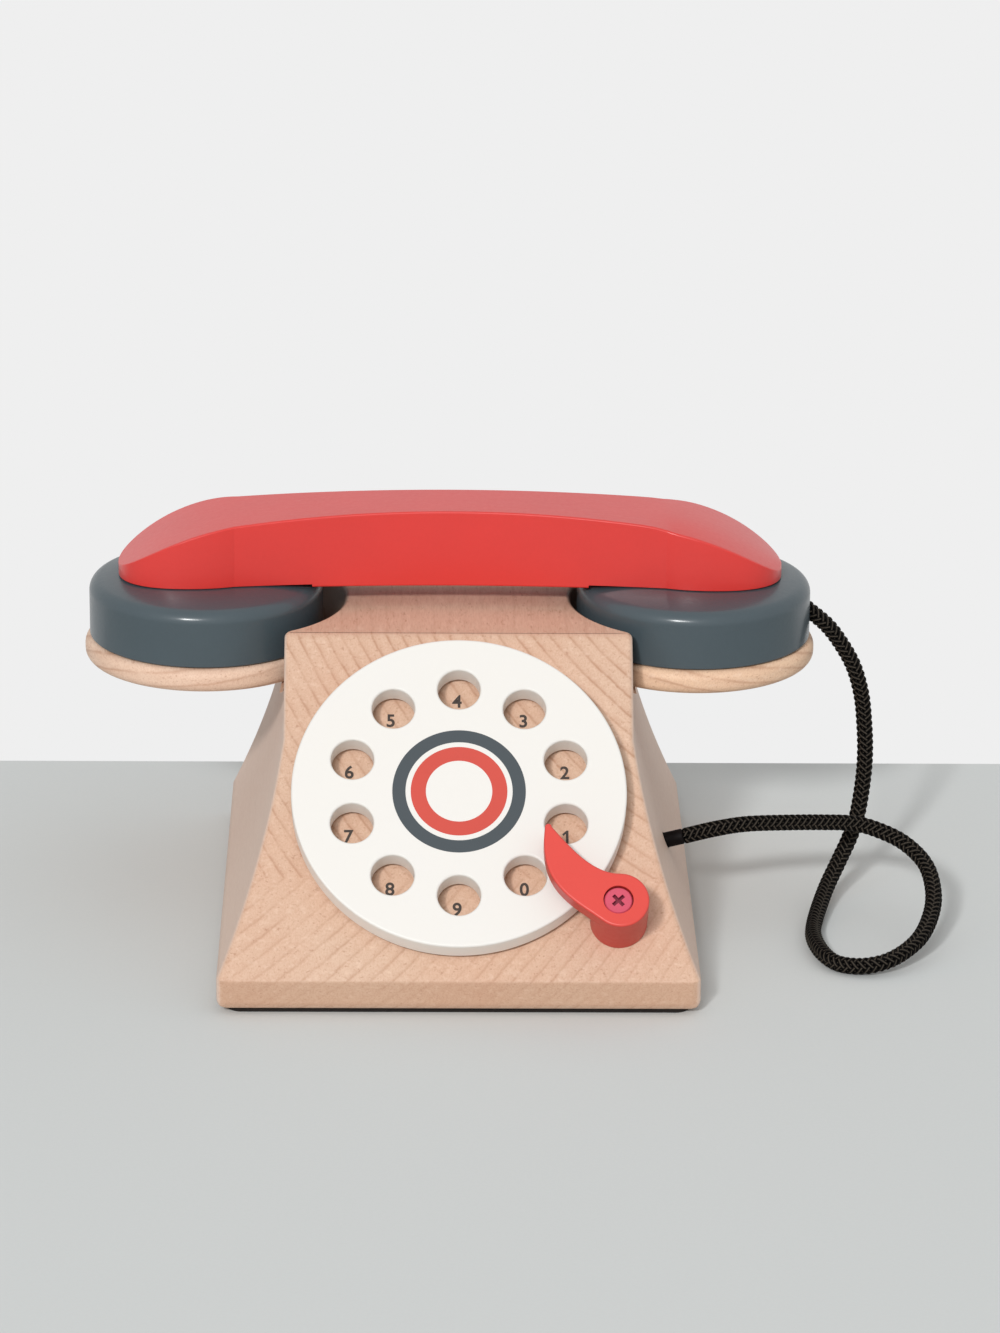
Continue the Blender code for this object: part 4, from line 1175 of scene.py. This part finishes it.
class TELEPHONE_OT_digits(bpy.types.Operator):
    """Digits painted on the sloped face, seen through the finger holes"""

    bl_idname = "telephone.digits"
    bl_label = "Digits"

    def execute(self, context):
        sizes = settings().dial
        ink = settings().colours.ink
        finish = paint("digit_ink", ink, darker(ink, 0.7), roughness=0.6, grain=0.06)
        for number, digit in enumerate(DIGITS):
            mark = self.flagged_one(sizes) if digit == "1" else self.written(context, digit, sizes)
            middle = (Vector(mark.bound_box[0]) + Vector(mark.bound_box[6])) / 2
            place = around_dial(number, sizes.digit_circle) + DIGIT_SHIFT
            put(mark, dial_place() @ Matrix.Translation(place) @ Matrix.Translation(-middle))
            dress(mark, finish, "base", "grey_paint")
        return {"FINISHED"}

    def written(self, context, digit, sizes):
        """A digit in the plain built-in face, a little bolder."""
        deselect()
        bpy.ops.object.text_add()
        text = context.object
        text.name = "digit_" + digit
        text.data.body = digit
        text.data.align_x = "CENTER"
        text.data.align_y = "CENTER"
        text.data.size = DIGIT_TEXT_SIZE * sizes.digit_height
        text.data.offset = DIGIT_BOLDNESS
        text.data.extrude = DIGIT_DEPTH
        bpy.ops.object.convert(target="MESH")
        return context.object

    def flagged_one(self, sizes):
        """The digit one, which has a flag at the top of its stem."""
        half_height = 0.48 * sizes.digit_height
        half_stem = 0.09 * sizes.digit_height
        flag_reach = 0.34 * sizes.digit_height
        flag_end = half_height - 0.8 * flag_reach
        flag_root = half_height - 2.6 * half_stem
        outline = [(-half_stem, -half_height), (half_stem, -half_height), (half_stem, half_height)]
        outline += [(-half_stem / 2, half_height), (-flag_reach, flag_end)]
        outline += [(-flag_reach + half_stem, flag_end - 1.4 * half_stem), (-half_stem, flag_root)]
        return draw_block("digit_1", level(outline, -DIGIT_DEPTH), (0, 0, 2 * DIGIT_DEPTH))


# Finger stop


# Radii of the stop's screw: its head, its shank and the hole round the head
SCREW_HEAD = 0.004
SCREW_SHANK = 0.0016
SCREW_HOLE = 0.0043

# How far the screw's head lies below the horn's top and beside the boss's centre
SCREW_SINK = 0.0006
SCREW_SHIFT = Vector((-0.0006, 0))

# The cross in the screw's head, and how it is turned
CROSS_LENGTH = 0.0042
CROSS_WIDTH = 0.0011
CROSS_DEPTH = 0.0014
CROSS_TURN = 0.74

# Light that the paint keeps where shade is painted in: on the stop's walls and in the cross
WALL_PAINTED_SHADE = (0.74, 0.6, 0.62)
CROSS_PAINTED_SHADE = (0.35, 0.2, 0.3)


class TELEPHONE_OT_stop(bpy.types.Operator):
    """Finger stop with its horn, and the screw that holds it"""

    bl_idname = "telephone.stop"
    bl_label = "Finger stop"

    def execute(self, context):
        sizes = settings().dial
        colours = settings().colours
        radius = sizes.stop_radius
        distance = sizes.radius + sizes.stop_gap + radius
        centre = distance * Vector((math.cos(sizes.stop_angle), math.sin(sizes.stop_angle)))
        bottom = sizes.standoff + sizes.thickness + sizes.horn_clearance
        top = bottom + sizes.horn_thickness
        horn = level(self.outline(centre, radius), bottom)
        stop = draw_block("stop_horn", horn, (0, 0, top - bottom))
        softness, boss_play, boss_cover, hole_depth = 0.0007, 0.00002, 0.002, 0.0016
        round_edges(stop, lambda start, end: softness, segments=4, limit=50)
        boss = level(circle(radius - boss_play, BLOCK_STEPS, centre), SEAT_GAP)
        cut(stop, draw_block("boss", boss, (0, 0, top - boss_cover)), "UNION")
        face = Vector((*(centre + SCREW_SHIFT), top - SCREW_SINK))
        hole = rod("screw_hole", SCREW_HOLE, -hole_depth, OVERCUT, HOLE_STEPS)
        cut(stop, put(hole, Matrix.Translation(face)))
        put(stop, dial_place())
        smooth(stop, limit=32)
        red = paint("stop_paint", colours.stop_red, darker(colours.stop_red, 0.9), roughness=0.4)
        self.paint_wall_shade(red.node_tree)
        dress(stop, red, "base", "red_stop_paint", "finger_stop")
        self.screw(face, colours)
        return {"FINISHED"}

    def outline(self, centre, radius):
        """The stop seen from above: a round end drawn out into a curved horn."""
        tip = Vector((0.0254, -0.0134))
        half_tip = 0.001
        outer_pull = Vector((-0.12, -0.99)) * 0.018
        inner_pull = Vector((0.64, -0.77)) * 0.008
        boss_pull, crown_pull = 0.012, 0.008
        tip_steps, inner_steps, outer_steps, boss_steps = 8, 24, 32, 56
        outer_tip = tip + Vector((-half_tip, -half_tip))
        inner_tip = tip + Vector((half_tip, -half_tip))
        lean = math.radians(-127)
        blend = centre + radius * Vector((math.cos(lean), math.sin(lean)))
        along = Vector((-math.sin(lean), math.cos(lean)))
        crown = centre + Vector((0, radius))
        outer = curve(outer_tip, outer_tip + outer_pull, blend - boss_pull * along, blend, outer_steps)
        inner = curve(crown, crown - Vector((crown_pull, 0)), inner_tip + inner_pull, inner_tip, inner_steps)
        tip_round = arc(tip - Vector((0, half_tip)), half_tip, 0, math.pi, tip_steps)[1:-1]
        end = arc(centre, radius, lean, math.pi / 2, boss_steps)
        return end + inner[1:] + tip_round + outer[:-1]

    def paint_wall_shade(self, tree):
        """Painted shade on the stop's upright walls: a deeper red where they face away from the dial's axis.
        """
        wall = ramp(tree, self.along_axis(tree, "Normal"), (0.2, 1.0), (0.75, 0.0))
        self.paint_in_shade(tree, wall, WALL_PAINTED_SHADE)

    def paint_cross_shade(self, tree, face):
        """Painted shade in the cross: a darker red where it is cut in below the head's face."""
        margin = 0.0004
        below = compute(tree, "LESS_THAN", self.along_axis(tree, "Object"), self.axis().dot(face) - margin)
        self.paint_in_shade(tree, below, CROSS_PAINTED_SHADE)

    def axis(self):
        """The way the dial faces."""
        return dial_place().to_3x3() @ Vector((0, 0, 1))

    def along_axis(self, tree, output):
        """How far a place lies, or how squarely a face looks, along the dial's axis."""
        values = {0: add(tree, "TexCoord", {}).outputs[output], 1: self.axis()}
        return add(tree, "VectorMath", values, operation="DOT_PRODUCT").outputs["Value"]

    def paint_in_shade(self, tree, mask, light):
        """Paint shade into a finish where a mask is one."""
        socket = tree.nodes["Principled BSDF"].inputs["Base Color"]
        feed(tree, socket, mix(tree, mask, socket.links[0].from_socket, light, "MULTIPLY"))

    def screw(self, face, colours):
        """A countersunk head with a cross in it, on a shank."""
        soft, straight, head_depth, shank_depth, point_depth = 0.0003, 0.0009, 0.0024, 0.030, 0.032
        profile = [(0, 0), (SCREW_HEAD - soft, 0), (SCREW_HEAD, -soft), (SCREW_HEAD, -straight)]
        profile += [(SCREW_SHANK, -head_depth), (SCREW_SHANK, -shank_depth), (0, -point_depth)]
        screw = turn_shape("stop_crosshead", profile, HOLE_STEPS)
        reach, half = CROSS_LENGTH / 2, CROSS_WIDTH / 2
        arm = [Vector(corner) for corner in ((reach, -half), (reach, half), (half, half))]
        turns = [Matrix.Rotation(quarter * math.pi / 2, 2) for quarter in range(4)]
        cross = level([turn @ corner for turn in turns for corner in arm], -CROSS_DEPTH)
        cut(screw, draw_block("cross", cross, (0, 0, OVERCUT)))
        put(screw, dial_place() @ Matrix.Translation(face) @ Matrix.Rotation(CROSS_TURN, 4, "Z"))
        smooth(screw, limit=30)
        red = paint("screw_paint", colours.screw_red, darker(colours.screw_red, 0.8), roughness=0.36)
        self.paint_cross_shade(red.node_tree, dial_place() @ face)
        dress(screw, red, "base", "red_screw_paint", "stop_screw")


# Handset


# Sections of the handle along its grip, along the widening to a pad and along a pad's tip
GRIP_STEPS = 18
WIDEN_STEPS = 10
TIP_STEPS = 18

# Angle round a pad's tip at which the last section stands
TIP_ANGLE = math.radians(88)

# Roundness of a pad's outline toward the middle, where it is an ellipse, and toward its fuller tip
PAD_POWER = 2
TIP_POWER = 2.4

# Share of the mouthpiece pad's fall that its back edge has
BACK_FALL = 1 / 3


class TELEPHONE_OT_handle(bpy.types.Operator):
    """Carved handle with a waisted grip and two round pads"""

    bl_idname = "telephone.handle"
    bl_label = "Handle"

    def execute(self, context):
        sizes = settings().handset
        colours = settings().colours
        edge_steps, point_spacing = 14, 0.0025
        half_depth = sizes.grip_depth / 2
        top = HANDLE_HIGH.z - HANDLE_LOW.z
        outline = rounded_rectangle(-half_depth, half_depth, 0, top, sizes.edge_round, edge_steps)
        handle = draw_face("red_handle", [Vector((0, y, z)) for y, z in divide(outline, point_spacing)])
        before = (0.0, half_depth, top)
        for number, station in enumerate(self.stations(sizes)):
            step = (station[0] - before[0], 0, 0)
            if number:
                bpy.ops.mesh.extrude_region_move(TRANSFORM_OT_translate={"value": step})
            else:
                bpy.ops.transform.translate(value=step)
            growth = (1, station[1] / before[1], station[2] / before[2])
            bpy.ops.transform.resize(value=growth, center_override=(station[0], 0, 0))
            before = station
        close_shell()
        self.crown(handle, sizes)
        for side in (-1, 1):
            seat = circle(sizes.seat_radius, BLOCK_STEPS, (side * sizes.cup_spacing / 2, 0))
            seat_top = CUP_HIGH.z + SEAT_GAP - HANDLE_LOW.z
            cut(handle, draw_block("cup_seat", level(seat, -OVERCUT), (0, 0, seat_top + OVERCUT)))
        put(handle, Matrix.Translation((0, CRADLE_Y, HANDLE_LOW.z)))
        smooth(handle, limit=8.5)
        red = paint("handle_paint", colours.red, darker(colours.red, 0.88), roughness=0.38, coat=0.25)
        dress(handle, red, "handset", "red_paint", "handset_handle")
        return {"FINISHED"}

    def crown(self, handle, sizes):
        """Let the top of the mouthpiece's pad fall toward its edges, most at the front."""
        for vert in handle.data.vertices:
            reach = abs(vert.co.x)
            share = min(max((vert.co.x - sizes.crown_start) / sizes.crown_run, 0), 1)
            fall = sizes.pad_crown if vert.co.y < 0 else sizes.pad_crown * BACK_FALL
            fall *= share * share * (3 - 2 * share) * (vert.co.y / self.half_depth(reach, sizes)) ** 2
            vert.co.z *= 1 - fall / self.top(reach, sizes)

    def stations(self, sizes):
        """Places along the handle with half its depth and its height there."""
        pad_centre, grip_half = self.pad_places(sizes)
        reaches = [grip_half * step / GRIP_STEPS for step in range(GRIP_STEPS)]
        start = -math.asin((pad_centre - grip_half) / sizes.pad_run)
        for step in range(WIDEN_STEPS):
            reaches.append(pad_centre + sizes.pad_run * math.sin(start * (1 - step / WIDEN_STEPS)))
        for step in range(TIP_STEPS + 1):
            reaches.append(pad_centre + sizes.pad_inset * math.sin(TIP_ANGLE * step / TIP_STEPS))
        places = [-reach for reach in reversed(reaches[1:])] + reaches
        return [(x, self.half_depth(abs(x), sizes), self.top(abs(x), sizes)) for x in places]

    def pad_places(self, sizes):
        """Distances of a pad's widest place and of the grip's end from the handle's middle."""
        pad_centre = HANDLE_HIGH.x - sizes.pad_inset
        return pad_centre, pad_centre - sizes.pad_run / 2

    def half_depth(self, reach, sizes):
        """Half the handle's depth at a distance from its middle."""
        pad = sizes.pad_depth / 2
        pad_centre, grip_half = self.pad_places(sizes)
        if reach >= pad_centre:
            return pad * max(1 - ((reach - pad_centre) / sizes.pad_inset) ** TIP_POWER, 0) ** (1 / TIP_POWER)
        widening = max(reach, grip_half)
        on_pad = pad * (1 - ((pad_centre - widening) / sizes.pad_run) ** PAD_POWER) ** (1 / PAD_POWER)
        waist = sizes.grip_depth / 2
        return waist + (on_pad - waist) * min(reach / grip_half, 1) ** 2

    def top(self, reach, sizes):
        """The handle's height at a distance from its middle: a long arch with drooping shoulders."""
        shoulder = max(reach - (HANDLE_HIGH.x - sizes.shoulder_inset), 0)
        droop = shoulder ** 2 / (2 * sizes.shoulder_radius)
        rise = HANDLE_HIGH.z - HANDLE_LOW.z + sizes.arch_rise
        return rise - reach ** 2 / (2 * sizes.arch_radius) - droop


# Points along the sloping part of a cup's top, along its upper edge and along its lower edge
DOME_STEPS = 10
CUP_EDGE_STEPS = 12
CUP_FOOT_STEPS = 3

# The cups: side, name, the disc's tone in the colours, and the heart's height and tilt of its growth rings
CUPS = ((-1, "earpiece", "disc_light", 0.006, 0.12), (1, "mouthpiece", "disc_warm", 0.018, -0.2))


class TELEPHONE_OT_cups(bpy.types.Operator):
    """Two turned cups and the beech discs under them"""

    bl_idname = "telephone.cups"
    bl_label = "Cups and discs"

    def execute(self, context):
        sizes = settings().handset
        colours = settings().colours
        cup_profile = self.cup_profile(sizes)
        rim = soft_rim((DISC_HIGH.x - DISC_LOW.x) / 2, DISC_HIGH.z, DISC_LOW.z, sizes.disc_round, RIM_STEPS)
        disc_profile = [(0, DISC_HIGH.z)] + rim + [(0, DISC_LOW.z)]
        dark_slate = darker(colours.slate, 0.85)
        slate = paint("cup_paint", colours.slate, dark_slate, roughness=0.48, coat=0.5, shine=0.2, blur=0.2)
        for side, name, tone_name, heart, tilt in CUPS:
            place = Matrix.Translation((side * sizes.cup_spacing / 2, CRADLE_Y, 0))
            cup = put(turn_shape(name + "_turned_cup", cup_profile, LARGE_STEPS), place)
            self.cut_openings(cup, side, name)
            smooth(cup, limit=32)
            dress(cup, slate, "handset", "grey_paint", name + "_cup")
            disc = put(turn_shape(name + "_turned_disc", disc_profile, LARGE_STEPS), place)
            smooth(disc, limit=32)
            turn = (0, tilt, math.pi / 2)
            tone = getattr(colours, tone_name)
            wood = beech(name + "_beech", tone, ((0, heart),), turn, spacing=0.0042, contrast=0.75)
            dress(disc, wood, "handset", "beech", name + "_disc")
        return {"FINISHED"}

    def cup_profile(self, sizes):
        """Half a cup in section: a flat middle, a fall toward the edge, a round edge and a soft foot."""
        foot_soft = 0.0005
        radius = (CUP_HIGH.x - CUP_LOW.x) / 2
        soft = sizes.cup_round
        lean = sizes.cup_lean
        run = radius - soft * (1 - math.sin(lean)) - sizes.cup_flat
        drop = math.tan(lean) * run / 2
        profile = [(0, CUP_HIGH.z)]
        for step in range(DOME_STEPS):
            share = step / DOME_STEPS
            profile.append((sizes.cup_flat + run * share, CUP_HIGH.z - drop * share ** 2))
        edge = (radius - soft, CUP_HIGH.z - drop - soft * math.cos(lean))
        profile += arc(edge, soft, math.pi / 2 - lean, 0, CUP_EDGE_STEPS)
        foot = (radius - foot_soft, CUP_LOW.z + foot_soft)
        profile += arc(foot, foot_soft, 0, -math.pi / 2, CUP_FOOT_STEPS)
        return profile + [(0, CUP_LOW.z)]

    def cut_openings(self, cup, side, name):
        """The screw's seat in a cup's underside, and the cord's socket in the mouthpiece."""
        seat_depth, socket_inside, socket_outside = 0.0028, 0.0083, 0.006
        low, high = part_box(name + "_screw")
        seat = level(circle((high.x - low.x) / 2 + SEAT_GAP, SMALL_STEPS), low.z - OVERCUT)
        seat = draw_block("screw_seat", seat, (0, 0, seat_depth + OVERCUT))
        cut(cup, put(seat, Matrix.Translation(((low.x + high.x) / 2, (low.y + high.y) / 2, 0))))
        if side > 0:
            exit_point = Vector(CORD_ROUTE[1])
            axis = (exit_point - Vector(CORD_ROUTE[0])).normalized()
            radius = settings().cord.diameter / 2 + SEAT_GAP
            socket = rod("socket", radius, -socket_inside, socket_outside, SMALL_STEPS)
            cut(cup, put(socket, aim(exit_point, axis)))


# Hardware


class TELEPHONE_OT_hardware(bpy.types.Operator):
    """Finishes of the bottom plate, feet, screws and axle"""

    bl_idname = "telephone.hardware"
    bl_label = "Hardware"

    def execute(self, context):
        steel_tones = (shade(190, 190, 192), shade(150, 150, 154))
        felt_tones = (shade(30, 23, 19), shade(18, 13, 11))
        nylon_tones = (shade(236, 235, 230), shade(222, 220, 214))
        steel = plain("screw_steel", *steel_tones, roughness=0.35, scale=900, metallic=1.0)
        felt = plain("foot_felt", *felt_tones, roughness=0.95, scale=1800)
        nylon = plain("spacer_nylon", *nylon_tones, roughness=0.45, scale=300)
        hearts = ((0.02, 0.3),)
        ply = beech("plate_ply", settings().colours.beech_light, hearts, (0, 0, math.pi / 2))
        finishes = {"bottom_plate": ply, "dial_spacer": nylon, "dial_axle": steel, "axle_washer": steel}
        self.felt_sheet(felt)
        for node in frame["nodes"]:
            if node.endswith("_screw") or node.startswith("plate_screw"):
                finishes[node] = steel
        for node, finish in finishes.items():
            data = frame["nodes"][node].data
            data.materials.clear()
            data.materials.append(finish)
        return {"FINISHED"}

    def felt_sheet(self, felt):
        """The dark felt under the base, open in the middle for the bottom plate."""
        inset, corner, gap = 0.003, 0.004, 0.0015
        low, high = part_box("foot_1")
        thickness = high.z - low.z
        outer = grown_box(BASE_LOW, BASE_HIGH, -inset, corner)
        inner = grown_box(*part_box("bottom_plate"), gap, 2 * corner)
        sheet = draw_block("base_felt", level(outer, low.z), (0, 0, thickness))
        cut(sheet, draw_block("opening", level(inner, low.z - gap), (0, 0, thickness + 2 * gap)))
        smooth(sheet)
        dress(sheet, felt, "base", "felt", "foot_1", "foot_2", "foot_3", "foot_4")


# Panel


class TELEPHONE_PT_panel(bpy.types.Panel):
    """Sizes, colours and steps of the telephone"""

    bl_idname = "TELEPHONE_PT_panel"
    bl_label = "Toy telephone"
    bl_space_type = "VIEW_3D"
    bl_region_type = "UI"
    bl_category = "Telephone"

    def draw(self, context):
        for operator in OPERATORS:
            self.layout.operator(operator.bl_idname)
        for part in Telephone.__annotations__:
            box = self.layout.box()
            box.label(text=part.title())
            values = getattr(context.scene.telephone, part)
            for name in values.__annotations__:
                box.prop(values, name)


GROUPS = (TelephoneBase, TelephoneDial, TelephoneHandset, TelephoneCord, TelephoneColours, Telephone)
OPERATORS = (
    TELEPHONE_OT_stage,
    TELEPHONE_OT_cord,
    TELEPHONE_OT_base,
    TELEPHONE_OT_dial,
    TELEPHONE_OT_digits,
    TELEPHONE_OT_stop,
    TELEPHONE_OT_handle,
    TELEPHONE_OT_cups,
    TELEPHONE_OT_hardware,
)
CLASSES = GROUPS + OPERATORS + (TELEPHONE_PT_panel,)


def register():
    """Add the classes and the scene's settings."""
    for kind in CLASSES:
        bpy.utils.register_class(kind)
    bpy.types.Scene.telephone = group(Telephone, "Telephone", "Sizes and colours of the telephone")


def unregister():
    """Take the settings and the classes away again."""
    del bpy.types.Scene.telephone
    for kind in reversed(CLASSES):
        bpy.utils.unregister_class(kind)


def main():
    """Build the telephone step by step."""
    register()
    bpy.ops.telephone.stage()
    bpy.ops.telephone.cord()
    bpy.ops.telephone.base()
    bpy.ops.telephone.dial()
    bpy.ops.telephone.digits()
    bpy.ops.telephone.stop()
    bpy.ops.telephone.handle()
    bpy.ops.telephone.cups()
    bpy.ops.telephone.hardware()
    deselect()


if __name__ == "__main__":
    main()
